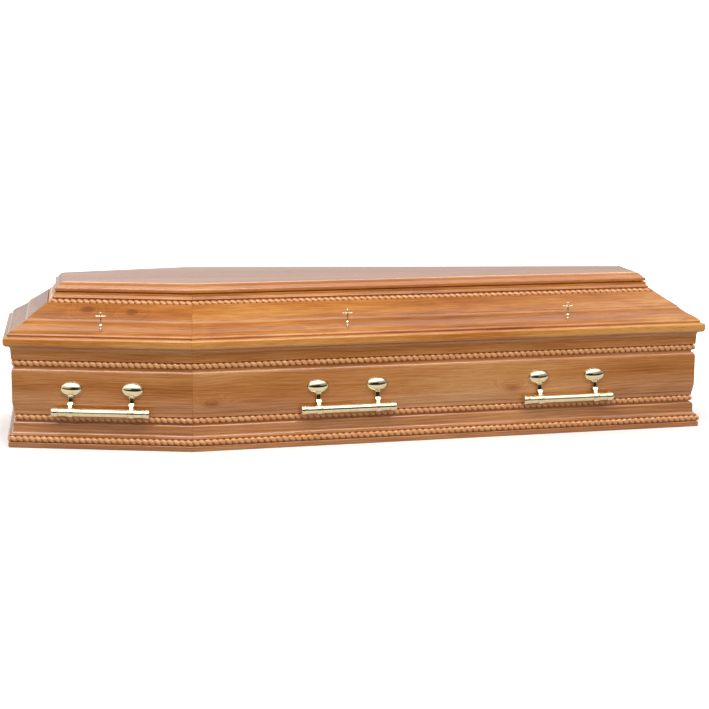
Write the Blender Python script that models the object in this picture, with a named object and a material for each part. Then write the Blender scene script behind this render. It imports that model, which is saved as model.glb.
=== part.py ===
"""Six-sided wooden coffin with a raised lid, rope mouldings, swing-bar handles and cross-headed lid screws.

X runs from the head to the foot, the right-hand side faces -Y, and the coffin stands on z = 0.
A height profile is a list of (offset, height) points: the offset is measured outwards from the panel line,
which is the six-sided plan through the faces of the main panels.
"""
import math

import bmesh
import bpy
from mathutils import Matrix, Vector

# Plan of the panel line
LENGTH = 1.950
HEAD_TO_SHOULDER = 0.482
HEAD_WIDTH = 0.436
SHOULDER_WIDTH = 0.680
FOOT_WIDTH = 0.413

# Boards and clearances
WALL_THICKNESS = 0.026
FLOOR_THICKNESS = 0.022
GAP = 0.0003

# Rope moulding, one stock section for all four rings
ROPE_WIDTH = 0.018
ROPE_DEPTH = 0.009
ROPE_EDGE = 0.004
ROPE_PITCH = 0.0320
ROPE_LEAN = 0.013
ROPE_REVEAL = 0.0028
UPPER_ROPE_REVEAL = 0.0053

# Base moulding, from the floor up
NOSE_HEIGHT = 0.0155
NOSE_REACH = 0.0128
NOSE_ROUND = 0.003
BASE_ROPE_REACH = 0.0148
BEAD_HEIGHT = 0.0015
COVE_HEIGHT = 0.0125
COVE_FOOT_REACH = 0.0095
LEDGE_HEIGHT = 0.0225
LEDGE_SETBACK = 0.0015
LEDGE_ROUND = 0.0055
LEDGE_DROP = 0.0095

# Walls above the base moulding
MIDDLE_ROPE_SETBACK = 0.0035
BEVEL_HEIGHT = 0.012
BEVEL_UNDERCUT = 0.0012
BEVEL_SETBACK = 0.005
PANEL_HEIGHT = 0.1150
PANEL_FOOT_RISE = 0.022
PANEL_FOOT_SETBACK = 0.0032
PANEL_ROUND = 0.0135
PANEL_ROUND_DEPTH = 0.0088
FRIEZE_HEIGHT = 0.0365
FRIEZE_REACH = 0.0014
FRIEZE_FLARE = 0.005
FRIEZE_COVE = 0.009
FRIEZE_LIP = 0.001

# Lid mouldings, heights above the underside of the lid
RIM_REACH = 0.0206
RIM_UNDER_RISE = 0.012
RIM_UNDER_RUN = 0.010
RIM_ROUND = 0.0065
RIM_HEIGHT = 0.0265
GROOVE_REACH = 0.009
GROOVE_DEPTH = 0.002
OGEE_FOOT = 0.031
OGEE_RISE = 0.039
OGEE_RUN = 0.0535
OGEE_CURVE = ((0, 0), (0.03, 0.09), (0.17, 0.235), (0.34, 0.377), (0.78, 0.75), (0.93, 0.92), (1, 1))
STEP_RISE = 0.0015
COVE_RISE = 0.0361
COVE_RUN = 0.0539
COVE_SAG = 0.0008
SEAT_TILT = math.radians(42)
LID_ROPE_SINK = 0.0085
CAP_SLOPE_RUN = 0.0068
CAP_SLOPE_RISE = 0.0060
CAP_FILLET_RISE = 0.0068
CAP_RECESS = 0.0095
CAP_RECESS_RISE = 0.0030
LID_BEARING = 0.016
LID_NECK = 0.020
BOARD_SEAT = 0.019

# Top board, heights above its underside
TOP_OVERHANG = 0.0070
TOP_BEAD_HEIGHT = 0.009
TOP_BEAD_SWELL = 0.0015
TOP_SLOPE_RISE = 0.0150
TOP_SLOPE_RUN = 0.0195
TOP_SLOPE_CURVE = ((0, 0), (0.30, 0.48), (0.66, 0.83), (1, 1))
TOP_STEP = 0.0035

# Handles
SIDE_HANDLE_FROM_SHOULDER = 0.431
SIDE_HANDLE_FROM_FOOT = 0.398
ROSETTE_ABOVE_BEVEL = 0.0612
ROSETTE_SPACING = 0.168
ROSETTE_WIDTH = 0.062
ROSETTE_HEIGHT = 0.043
ROSETTE_DEPTH = 0.0150
PIN_BELOW_ROSETTE = 0.0175
PIN_STAND_OFF = 0.0060
PIN_RADIUS = 0.0018
PIN_CLEARANCE = 0.0003
EYE_WIDTH = 0.0135
EYE_RADIUS = 0.0040
SWING_CLEARANCE = 0.0004
ARM_DROP = 0.0440
ARM_CRANK = 0.0112
ARM_CRANK_LOW = 0.0150
ARM_CRANK_RUN = 0.0150
SHANK_DEPTH = 0.0074
SHANK_LENGTH = 0.0168
FERRULE_EASE = 0.0008
FERRULE_HEIGHT = 0.0066
FERRULE_WIDTH = 0.0152
FERRULE_DEPTH = 0.0120
NECK_WIDTH = 0.0125
BAR_RADIUS = 0.0120
BAR_LENGTH = 0.270
CAP_RADIUS = 0.0137
CAP_LENGTH = 0.020
COLLAR_WALL = 0.0026
COLLAR_WIDTH = 0.019

# Lid screws
SCREW_SETBACK = 0.004
SCREW_STEM_RADIUS = 0.0026
SCREW_HOLE_CLEARANCE = 0.0006
SCREW_GRIP = 0.022
SCREW_BALL_RADIUS = 0.0052
SCREW_BALL_RISE = 0.0600
CROSS_ARM_SPAN = 0.029
CROSS_RISE = 0.0375
CROSS_ARM_RISE = 0.0260
CROSS_BAR_WIDTH = 0.0042
CROSS_THICKNESS = 0.0036

# Heights that follow from the ones above
BASE_ROPE_LOW = NOSE_HEIGHT
BASE_COVE_LOW = BASE_ROPE_LOW + ROPE_WIDTH + BEAD_HEIGHT
BASE_HEIGHT = BASE_COVE_LOW + COVE_HEIGHT + LEDGE_HEIGHT
MIDDLE_ROPE_LOW = BASE_HEIGHT + ROPE_REVEAL
BEVEL_LOW = MIDDLE_ROPE_LOW + ROPE_WIDTH + GAP
PANEL_LOW = BEVEL_LOW + BEVEL_HEIGHT
PANEL_TOP = PANEL_LOW + PANEL_HEIGHT
UPPER_ROPE_LOW = PANEL_TOP + UPPER_ROPE_REVEAL
FRIEZE_LOW = UPPER_ROPE_LOW + ROPE_WIDTH + GAP
BODY_HEIGHT = FRIEZE_LOW + FRIEZE_HEIGHT
LID_LOW = BODY_HEIGHT + GAP
MIDDLE_SEAT = MIDDLE_ROPE_SETBACK + ROPE_DEPTH + GAP
UPPER_SEAT = ROPE_DEPTH + GAP
SIDE_NAMES = ("right_shoulder", "right_side", "foot_end", "left_side", "left_shoulder", "head_end")

OAK = dict(color=(0.50, 0.20, 0.055, 1), roughness=0.22, metallic=0.0)
CARVED_OAK = dict(color=(0.56, 0.24, 0.08, 1), roughness=0.25, metallic=0.0)
BRASS = dict(color=(0.88, 0.76, 0.50, 1), roughness=0.12, metallic=1.0)


def clear_scene():
    """Remove what the new file holds."""
    for old in list(bpy.data.objects):
        bpy.data.objects.remove(old, do_unlink=True)


def collection(name):
    """A new collection in the scene."""
    made = bpy.data.collections.new(name)
    bpy.context.scene.collection.children.link(made)
    return made


def finish(name, mesh, look, parent=None, place=None):
    """Put a mesh in the coffin's collection as one named sub-part with its own material."""
    mesh.name = name
    piece = bpy.data.objects.new(name, mesh)
    material = bpy.data.materials.new(name)
    material.use_nodes = True
    shader = material.node_tree.nodes["Principled BSDF"]
    shader.inputs["Base Color"].default_value = look["color"]
    shader.inputs["Roughness"].default_value = look["roughness"]
    shader.inputs["Metallic"].default_value = look["metallic"]
    material.diffuse_color = look["color"]
    mesh.materials.clear()
    mesh.materials.append(material)
    COFFIN.objects.link(piece)
    piece.parent = parent
    if place is not None:
        piece.matrix_local = place
    return piece


def to_mesh(bm, name):
    """Turn a bmesh into a mesh with its faces pointing outwards."""
    bmesh.ops.recalc_face_normals(bm, faces=bm.faces)
    mesh = bpy.data.meshes.new(name)
    bm.to_mesh(mesh)
    bm.free()
    return mesh


# Plan geometry
def panel_corners():
    """The six corners of the panel line, anticlockwise from the head corner of the right-hand side."""
    head = -LENGTH / 2
    shoulder = head + HEAD_TO_SHOULDER
    foot = LENGTH / 2
    right = [Vector((head, -HEAD_WIDTH / 2)), Vector((shoulder, -SHOULDER_WIDTH / 2)),
             Vector((foot, -FOOT_WIDTH / 2))]
    left = [Vector((corner.x, -corner.y)) for corner in reversed(right)]
    return right + left


def side_frame(side):
    """Start corner, direction and outward normal of a side of the panel line, and its length."""
    corners = panel_corners()
    start = corners[side]
    run = corners[(side + 1) % 6] - start
    along = run.normalized()
    return start, along, Vector((along.y, -along.x)), run.length


def corner_at(corner, offset):
    """Where the two sides that meet at a corner cross when both are moved out by an offset."""
    before = side_frame((corner - 1) % 6)
    after = side_frame(corner)
    bisector = (before[2] + after[2]).normalized()
    return after[0] + bisector * (offset / bisector.dot(after[2]))


def arc(centre, radii, start, end, steps):
    """Points of an elliptical arc, with angles in degrees, as (offset, height) pairs."""
    angles = [math.radians(start + (end - start) * i / steps) for i in range(steps + 1)]
    return [(centre[0] + radii[0] * math.cos(a), centre[1] + radii[1] * math.sin(a)) for a in angles]


# Profiles
def base_profile():
    """Base moulding: rounded nose, rope seat, bead, cove and ledge."""
    seat = BASE_ROPE_REACH - ROPE_DEPTH - GAP
    rope_top = BASE_ROPE_LOW + ROPE_WIDTH + GAP
    cove_top = BASE_COVE_LOW + COVE_HEIGHT
    cove_run = COVE_FOOT_REACH + LEDGE_SETBACK
    back = -MIDDLE_SEAT + GAP
    nose_top = BASE_ROPE_LOW - GAP
    points = [(back, 0), (NOSE_REACH - NOSE_ROUND, 0), (NOSE_REACH, NOSE_ROUND),
              (NOSE_REACH, nose_top - NOSE_ROUND), (NOSE_REACH - NOSE_ROUND, nose_top),
              (seat, nose_top), (seat, rope_top), (COVE_FOOT_REACH, rope_top)]
    points += arc((COVE_FOOT_REACH, cove_top), (cove_run, COVE_HEIGHT), 270, 180, 4)
    ledge_centre = (-LEDGE_SETBACK - LEDGE_ROUND, BASE_HEIGHT - LEDGE_DROP)
    points += arc(ledge_centre, (LEDGE_ROUND, LEDGE_DROP), 0, 90, 2)
    return points + [(back, BASE_HEIGHT)]


def wall_profile():
    """Wall board: rebate for the base moulding and middle rope, fillet, panel, upper rope seat and frieze."""
    cove = (FRIEZE_REACH + FRIEZE_FLARE, BODY_HEIGHT - FRIEZE_LIP - FRIEZE_COVE)
    points = [(-WALL_THICKNESS, 0), (-MIDDLE_SEAT, 0), (-MIDDLE_SEAT, BEVEL_LOW), (-BEVEL_SETBACK, BEVEL_LOW),
              (-BEVEL_SETBACK, PANEL_LOW - BEVEL_UNDERCUT), (-PANEL_FOOT_SETBACK, PANEL_LOW),
              (-PANEL_FOOT_SETBACK / 3, PANEL_LOW + PANEL_FOOT_RISE / 2), (0, PANEL_LOW + PANEL_FOOT_RISE)]
    points += arc((-PANEL_ROUND_DEPTH, PANEL_TOP - PANEL_ROUND), (PANEL_ROUND_DEPTH, PANEL_ROUND), 0, 90, 3)
    points += [(-UPPER_SEAT, PANEL_TOP), (-UPPER_SEAT, FRIEZE_LOW), (0, FRIEZE_LOW)]
    points += arc(cove, (FRIEZE_FLARE, FRIEZE_COVE), 180, 90, 3)
    return points + [(FRIEZE_REACH + FRIEZE_FLARE, BODY_HEIGHT), (-WALL_THICKNESS, BODY_HEIGHT)]


def lid_seat():
    """Front corners of the lid's rope seat, low and high, and the unit vectors up the slope and into it."""
    low = (GROOVE_REACH - OGEE_RUN - COVE_RUN, LID_LOW + OGEE_FOOT + OGEE_RISE + STEP_RISE + COVE_RISE)
    up = (-math.cos(SEAT_TILT), math.sin(SEAT_TILT))
    inward = (-math.sin(SEAT_TILT), -math.cos(SEAT_TILT))
    span = ROPE_WIDTH + 2 * GAP
    high = (low[0] + up[0] * span, low[1] + up[1] * span)
    return low, high, up, inward


def lid_shoulder():
    """Outer top corner of the lid mouldings, under the top board."""
    low, high, up, inward = lid_seat()
    reach = high[0] - CAP_SLOPE_RUN - CAP_RECESS
    return reach, high[1] + CAP_SLOPE_RISE + CAP_FILLET_RISE + CAP_RECESS_RISE


def lid_profile():
    """Lid moulding: rounded rim, groove, ogee, step, slope, rope seat, fillet and shadow recess."""
    low, high, up, inward = lid_seat()
    sink = LID_ROPE_SINK + GAP
    rim_top = LID_LOW + RIM_HEIGHT
    points = [(-LID_BEARING, LID_LOW)]
    under_centre = (RIM_REACH - RIM_UNDER_RUN, LID_LOW + RIM_UNDER_RISE)
    points += arc(under_centre, (RIM_UNDER_RUN, RIM_UNDER_RISE), 270, 360, 3)
    points += arc((RIM_REACH - RIM_ROUND, rim_top - RIM_ROUND), (RIM_ROUND, RIM_ROUND), 0, 90, 3)
    groove = GROOVE_REACH - GROOVE_DEPTH
    points += [(groove, rim_top), (groove, rim_top + GROOVE_DEPTH)]
    ogee_low = LID_LOW + OGEE_FOOT
    points += [(GROOVE_REACH - OGEE_RUN * run, ogee_low + OGEE_RISE * rise) for run, rise in OGEE_CURVE]
    cove_foot = (GROOVE_REACH - OGEE_RUN, ogee_low + OGEE_RISE + STEP_RISE)
    for i in range(3):
        sag = COVE_SAG * math.sin(math.pi * i / 2)
        points.append((cove_foot[0] + (low[0] - cove_foot[0]) * i / 2 + inward[0] * sag,
                       cove_foot[1] + (low[1] - cove_foot[1]) * i / 2 + inward[1] * sag))
    points += [(low[0] + inward[0] * sink, low[1] + inward[1] * sink),
               (high[0] + inward[0] * sink, high[1] + inward[1] * sink), high]
    shoulder, top = lid_shoulder()
    fillet = high[0] - CAP_SLOPE_RUN
    recess = top - CAP_RECESS_RISE
    points += [(fillet, high[1] + CAP_SLOPE_RISE), (fillet, recess), (shoulder, recess), (shoulder, top)]
    return points + [(shoulder - BOARD_SEAT, top), (shoulder - BOARD_SEAT, top - LID_NECK)]


# Boards and plates
def mitred_board(name, side, profile, look):
    """A board of one profile along a side, mitred at both corners."""
    start, along, normal, length = side_frame(side)
    half_gap = GAP / 2
    ends = []
    for corner, sign in ((side, 1), ((side + 1) % 6, -1)):
        at_line = (corner_at(corner, 0) - start).dot(along)
        at_one = (corner_at(corner, 1) - start).dot(along)
        lean = at_one - at_line
        ends.append((at_line + sign * half_gap * math.hypot(1, lean), lean))
    bm = bmesh.new()
    verts = []
    for offset, height in profile:
        place = start + normal * offset + along * (ends[0][0] + ends[0][1] * offset)
        verts.append(bm.verts.new((place.x, place.y, height)))
    face = bm.faces.new(verts)
    grown = bmesh.ops.extrude_face_region(bm, geom=[face])
    for vert in [item for item in grown["geom"] if isinstance(item, bmesh.types.BMVert)]:
        offset = (vert.co.to_2d() - start).dot(normal)
        run = ends[1][0] + ends[1][1] * offset - ends[0][0] - ends[0][1] * offset
        vert.co += (along * run).to_3d()
    return finish(name, to_mesh(bm, name), look)


def six_sided_plate(name, rings, look):
    """A plate whose six-sided outline follows a list of (offset, height) rings from bottom to top."""
    bm = bmesh.new()
    loops = [[bm.verts.new((*corner_at(corner, offset), height)) for corner in range(6)]
             for offset, height in rings]
    bm.faces.new(loops[0])
    bm.faces.new(loops[-1])
    for low, high in zip(loops, loops[1:]):
        for i in range(6):
            bm.faces.new((low[i], low[i - 1], high[i - 1], high[i]))
    return finish(name, to_mesh(bm, name), look)


# Rope mouldings
def rope_ring(name, low, up, out, reach, look):
    """A closed ring of rope moulding: slanted strands in relief on a backing strip.

    low is the (offset, height) of the back's lower edge, up the unit vector across the strip and out the
    unit vector that the strands stand out along, both as (offset, height).
    """
    bm = bmesh.new()
    high = (low[0] + up[0] * ROPE_WIDTH, low[1] + up[1] * ROPE_WIDTH)
    middle = ((low[0] + high[0]) / 2, (low[1] + high[1]) / 2)

    def on_side(side, share_point, raised, run):
        """A vertex on a side, at a profile point raised off the back, run metres past the side's mitre."""
        offset = share_point[0] + out[0] * raised
        along = side_frame(side)[1]
        place = corner_at(side, offset) + along * run
        return bm.verts.new((place.x, place.y, share_point[1] + out[1] * raised))

    def back_edges(side):
        """The two back vertices and the two raised groove vertices at a side's first corner."""
        return [on_side(side, high, 0, 0), on_side(side, low, 0, 0),
                on_side(side, high, ROPE_EDGE, 0), on_side(side, low, ROPE_EDGE, 0)]

    corners = [back_edges(side) for side in range(6)]
    for side in range(6):
        first = corners[side]
        last = corners[(side + 1) % 6]
        along = side_frame(side)[1]
        edge_high = (last[2].co - first[2].co).to_2d().dot(along)
        edge_low = (last[3].co - first[3].co).to_2d().dot(along)
        count = max(3, round(min(edge_high, edge_low) / ROPE_PITCH))
        tops = [first[2]]
        bottoms = [first[3]]
        for i in range(1, count):
            tops.append(on_side(side, high, ROPE_EDGE, edge_high * i / count - ROPE_LEAN / 2))
            bottoms.append(on_side(side, low, ROPE_EDGE, edge_low * i / count + ROPE_LEAN / 2))
        tops.append(last[2])
        bottoms.append(last[3])
        for i in range(count):
            ridge = on_side(side, middle, reach, (edge_high + edge_low) / 2 * (i + 0.5) / count)
            for strand in ((tops[i], bottoms[i]), (bottoms[i], bottoms[i + 1]),
                           (bottoms[i + 1], tops[i + 1]), (tops[i + 1], tops[i])):
                bm.faces.new((*strand, ridge))
            back = first if i < count / 2 else last
            bm.faces.new((tops[i], tops[i + 1], back[0]))
            bm.faces.new((bottoms[i + 1], bottoms[i], back[1]))
        turn = math.ceil(count / 2)
        bm.faces.new((tops[turn], last[0], first[0]))
        bm.faces.new((bottoms[turn], first[1], last[1]))
        bm.faces.new((first[0], last[0], last[1], first[1]))
    return finish(name, to_mesh(bm, name), look)


def build_ropes():
    """Rings on the base moulding, below the panels, above the panels and under the top board."""
    rings = (("rope_moulding_base", BASE_ROPE_REACH, BASE_ROPE_LOW),
             ("rope_moulding_middle", -MIDDLE_ROPE_SETBACK, MIDDLE_ROPE_LOW),
             ("rope_moulding_upper", 0, UPPER_ROPE_LOW))
    for name, reach, height in rings:
        rope_ring(name, (reach - ROPE_DEPTH, height), (0, 1), (1, 0), ROPE_DEPTH, CARVED_OAK)
    low, high, up, inward = lid_seat()
    foot = (low[0] + up[0] * GAP + inward[0] * LID_ROPE_SINK,
            low[1] + up[1] * GAP + inward[1] * LID_ROPE_SINK)
    rope_ring("rope_moulding_lid", foot, up, (-inward[0], -inward[1]), ROPE_DEPTH, CARVED_OAK)


# Metalwork
def turned(points, sides, axis="Z"):
    """A solid of revolution from (radius, height) points, closed at both ends."""
    bm = bmesh.new()
    verts = [bm.verts.new((radius, 0, height)) for radius, height in points]
    edges = [bm.edges.new(pair) for pair in zip(verts, verts[1:])]
    bmesh.ops.spin(bm, geom=verts + edges, cent=(0, 0, 0), axis=(0, 0, 1), angle=2 * math.pi,
                   steps=sides, use_merge=True)
    bmesh.ops.remove_doubles(bm, verts=bm.verts, dist=1e-6)
    bmesh.ops.holes_fill(bm, edges=bm.edges, sides=sides)
    if axis == "X":
        bmesh.ops.rotate(bm, verts=bm.verts, matrix=Matrix.Rotation(math.pi / 2, 3, "Y"))
    if axis == "-Y":
        bmesh.ops.rotate(bm, verts=bm.verts, matrix=Matrix.Rotation(math.pi / 2, 3, "X"))
    return to_mesh(bm, "turned")


def box(size, centre):
    """A box of a size about a centre."""
    bm = bmesh.new()
    bmesh.ops.create_cube(bm, size=1)
    bmesh.ops.scale(bm, vec=size, verts=bm.verts)
    bmesh.ops.translate(bm, vec=centre, verts=bm.verts)
    return to_mesh(bm, "box")


def moved(mesh, offset, turn=0.0):
    """Turn a mesh about X, then move it."""
    mesh.transform(Matrix.Translation(offset) @ Matrix.Rotation(turn, 4, "X"))
    return mesh


def combined(first, others, operation="UNION"):
    """Combine meshes with exact Booleans and return one mesh."""
    base = bpy.data.objects.new("base", first)
    CUTTERS.objects.link(base)
    tools = []
    for mesh in others:
        tool = bpy.data.objects.new("tool", mesh)
        CUTTERS.objects.link(tool)
        tool.hide_render = True
        tool.display_type = "WIRE"
        tools.append(tool)
        cut = base.modifiers.new("cut", "BOOLEAN")
        cut.operation = operation
        cut.solver = "EXACT"
        cut.object = tool
    evaluated = base.evaluated_get(bpy.context.evaluated_depsgraph_get())
    result = bpy.data.meshes.new_from_object(evaluated)
    for old in tools + [base]:
        bpy.data.objects.remove(old, do_unlink=True)
    return result


def rosette_mesh():
    """Oval dome, slotted at its foot for the arm, and the pin across the slot. The panel is at y = 0."""
    dome = turned([(1, 0), (1, 0.10), (0.80, 0.68), (0, 1)], 10, "-Y")
    dome.transform(Matrix.Diagonal((ROSETTE_WIDTH / 2, ROSETTE_DEPTH, ROSETTE_HEIGHT / 2, 1)))
    reach = EYE_WIDTH / 2 + SWING_CLEARANCE
    slot_top = -PIN_BELOW_ROSETTE + EYE_RADIUS + SWING_CLEARANCE
    slot_back = -PIN_STAND_OFF + EYE_RADIUS + SWING_CLEARANCE
    slot = box((2 * reach, ROSETTE_DEPTH, ROSETTE_HEIGHT),
               (0, slot_back - ROSETTE_DEPTH / 2, slot_top - ROSETTE_HEIGHT / 2))
    dome = combined(dome, [slot], "DIFFERENCE")
    pin = turned([(PIN_RADIUS, -reach - PIN_RADIUS), (PIN_RADIUS, reach + PIN_RADIUS)], 6, "X")
    return combined(dome, [moved(pin, (0, -PIN_STAND_OFF, -PIN_BELOW_ROSETTE))])


def ring_points(centre, radius, sides, start=0, stop=360):
    """Corners of a regular outline about a centre, as (depth, height) points."""
    step = 360 / sides
    turns = [start + step * i for i in range(round((stop - start) / step) + (stop - start < 360))]
    return [(centre[0] + radius * math.cos(math.radians(a)), centre[1] + radius * math.sin(math.radians(a)))
            for a in turns]


def arm_crank(drop):
    """How far out from the pin the arm stands, at a distance below it."""
    t = min(1, max(0, (drop - ARM_CRANK_LOW) / ARM_CRANK_RUN))
    return ARM_CRANK * t * t * (3 - 2 * t)


def arm_mesh():
    """Eye, shank, ferrule, neck and the collar round the bar, in one casting. The pin is at the origin."""
    bar = (-ARM_CRANK, -ARM_DROP)
    ferrule_top = SHANK_LENGTH + FERRULE_EASE
    ferrule_foot = ferrule_top + FERRULE_HEIGHT
    neck_top = ferrule_foot + FERRULE_EASE
    stations = ((SHANK_LENGTH, SHANK_DEPTH), (ferrule_top, FERRULE_DEPTH), (ferrule_foot, FERRULE_DEPTH),
                (neck_top, SHANK_DEPTH))
    front = [(-arm_crank(drop) - depth / 2, -drop) for drop, depth in stations]
    back = [(-arm_crank(drop) + depth / 2, -drop) for drop, depth in reversed(stations)]
    eye = ring_points((0, 0), EYE_RADIUS, 6, 0, 180)
    collar = ring_points(bar, BAR_RADIUS + COLLAR_WALL, 8, 135, 405)
    bore = ring_points((0, 0), (PIN_RADIUS + PIN_CLEARANCE) / math.cos(math.pi / 6), 6)
    bar_hole = ring_points(bar, BAR_RADIUS + GAP / math.cos(math.pi / 8), 8)
    outline = bpy.data.curves.new("arm", "CURVE")
    outline.dimensions = "2D"
    outline.fill_mode = "BOTH"
    outline.extrude = 0.5
    for points in (eye + front + collar + back, bore, bar_hole):
        spline = outline.splines.new("POLY")
        spline.points.add(len(points) - 1)
        spline.use_cyclic_u = True
        for point, (depth, height) in zip(spline.points, points):
            point.co = (depth, height, 0, 1)
    flat = bpy.data.objects.new("arm", outline)
    CUTTERS.objects.link(flat)
    mesh = bpy.data.meshes.new_from_object(flat.evaluated_get(bpy.context.evaluated_depsgraph_get()))
    bpy.data.objects.remove(flat, do_unlink=True)
    bm = bmesh.new()
    bm.from_mesh(mesh)
    bmesh.ops.remove_doubles(bm, verts=bm.verts, dist=1e-6)
    collar_top = (bar[1] + BAR_RADIUS + COLLAR_WALL - neck_top) / 2
    for vert in bm.verts:
        depth, height, side = vert.co
        width = EYE_WIDTH if height > -(SHANK_LENGTH + ferrule_top) / 2 else FERRULE_WIDTH
        width = NECK_WIDTH if height < -(ferrule_foot + neck_top) / 2 else width
        width = COLLAR_WIDTH if height < collar_top else width
        vert.co = (math.copysign(width / 2, side), depth, height)
    return to_mesh(bm, "arm")


def bar_mesh():
    """Bar with a larger cap at each end, along X."""
    half = BAR_LENGTH / 2
    inner = half - CAP_LENGTH
    points = [(CAP_RADIUS, -half), (CAP_RADIUS, -inner), (BAR_RADIUS, -inner),
              (BAR_RADIUS, inner), (CAP_RADIUS, inner), (CAP_RADIUS, half)]
    return turned(points, 8, "X")


def handle_places():
    """Name, side and distance along the side of each handle."""
    places = []
    for hand, shoulder, long_side in (("right", 0, 1), ("left", 4, 3)):
        shoulder_length = side_frame(shoulder)[3]
        long_length = side_frame(long_side)[3]
        runs = ((shoulder, shoulder_length / 2), (long_side, SIDE_HANDLE_FROM_SHOULDER),
                (long_side, long_length - SIDE_HANDLE_FROM_FOOT))
        for place, (side, run) in zip(("head", "middle", "foot"), runs):
            mirrored = hand == "left"
            full = side_frame(side)[3]
            places.append((f"{hand}_{place}", side, full - run if mirrored else run))
    return places


def side_place(side, run, offset, height):
    """Where X runs along a side and -Y points out of it."""
    start, along, normal, length = side_frame(side)
    spot = start + along * run + normal * offset
    turn = Matrix.Rotation(math.atan2(along.y, along.x), 4, "Z")
    return Matrix.Translation((spot.x, spot.y, height)) @ turn


def build_handles():
    """Two rosettes, two arms and a bar for each handle; the arms and bar hang from an empty on the pins."""
    rosette = rosette_mesh()
    arm = arm_mesh()
    bar = bar_mesh()
    rosette_height = PANEL_LOW + ROSETTE_ABOVE_BEVEL
    for name, side, run in handle_places():
        hinge = bpy.data.objects.new(f"{name}_handle_hinge", None)
        COFFIN.objects.link(hinge)
        hinge.matrix_local = side_place(side, run, PIN_STAND_OFF + GAP, rosette_height - PIN_BELOW_ROSETTE)
        for end, sign in (("a", -1), ("b", 1)):
            spot = side_place(side, run + sign * ROSETTE_SPACING / 2, GAP, rosette_height)
            finish(f"{name}_rosette_{end}", rosette.copy(), BRASS, place=spot)
            finish(f"{name}_arm_{end}", arm.copy(), BRASS, hinge,
                   Matrix.Translation((sign * ROSETTE_SPACING / 2, 0, 0)))
        finish(f"{name}_bar", bar.copy(), BRASS, hinge, Matrix.Translation((0, -ARM_CRANK, -ARM_DROP)))


# Lid screws
def screw_mesh():
    """Cross, ball and stem of a lid screw. The foot of the stem is at the origin."""
    ball = SCREW_GRIP + SCREW_BALL_RISE
    stem = turned([(SCREW_STEM_RADIUS, 0), (SCREW_STEM_RADIUS, ball - SCREW_BALL_RADIUS),
                   (SCREW_BALL_RADIUS, ball), (SCREW_STEM_RADIUS, ball + SCREW_BALL_RADIUS)], 6)
    upright = box((CROSS_BAR_WIDTH, CROSS_THICKNESS, CROSS_RISE - SCREW_BALL_RADIUS / 2),
                  (0, 0, ball + (CROSS_RISE + SCREW_BALL_RADIUS / 2) / 2))
    arms = box((CROSS_ARM_SPAN, CROSS_THICKNESS, CROSS_BAR_WIDTH), (0, 0, ball + CROSS_ARM_RISE))
    return combined(upright, [arms, stem])


def screw_foot():
    """Height of the foot of the screws' stems, sunk into the top of the walls."""
    return BODY_HEIGHT - SCREW_GRIP


def build_screws():
    """One lid screw over the middle of each handle."""
    screw = screw_mesh()
    for name, side, run in handle_places():
        spot = side_place(side, run, -SCREW_SETBACK, screw_foot())
        finish(f"{name}_lid_screw", screw.copy(), BRASS, place=spot)


def drill_screw_holes():
    """Drill the lid mouldings through and the walls part way down for the lid screws."""
    for name, side, run in handle_places():
        radius = (SCREW_STEM_RADIUS + SCREW_HOLE_CLEARANCE) / math.cos(math.pi / 6)
        for board in (f"wall_{SIDE_NAMES[side]}", f"lid_moulding_{SIDE_NAMES[side]}"):
            piece = bpy.data.objects[board]
            material = piece.data.materials[0]
            drill = turned([(radius, -GAP), (radius, SCREW_GRIP + SCREW_BALL_RISE)], 6)
            drill.transform(side_place(side, run, -SCREW_SETBACK, screw_foot()))
            piece.data = combined(piece.data, [drill], "DIFFERENCE")
            piece.data.name = board
            piece.data.materials.clear()
            piece.data.materials.append(material)


def build_woodwork():
    """Floor, walls, base mouldings, lid mouldings and top board."""
    floor_reach = -WALL_THICKNESS - GAP
    six_sided_plate("floor_board", [(floor_reach, 0), (floor_reach, FLOOR_THICKNESS)], OAK)
    for side, name in enumerate(SIDE_NAMES):
        mitred_board(f"wall_{name}", side, wall_profile(), OAK)
        mitred_board(f"base_moulding_{name}", side, base_profile(), OAK)
        mitred_board(f"lid_moulding_{name}", side, lid_profile(), OAK)
    shoulder, top = lid_shoulder()
    reach = shoulder + TOP_OVERHANG
    low = top + GAP
    rings = arc((reach, low + TOP_BEAD_HEIGHT / 2), (TOP_BEAD_SWELL, TOP_BEAD_HEIGHT / 2), -90, 90, 2)
    rings += [(reach - TOP_STEP - TOP_SLOPE_RUN * run, low + TOP_BEAD_HEIGHT + TOP_SLOPE_RISE * rise)
              for run, rise in TOP_SLOPE_CURVE]
    six_sided_plate("lid_top_board", rings, OAK)


clear_scene()
COFFIN = collection("wooden_coffin")
CUTTERS = collection("cutters")
build_woodwork()
build_ropes()
build_handles()
build_screws()
drill_screw_holes()
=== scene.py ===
import math

import bmesh
import bpy
from mathutils import Matrix, Vector


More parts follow.
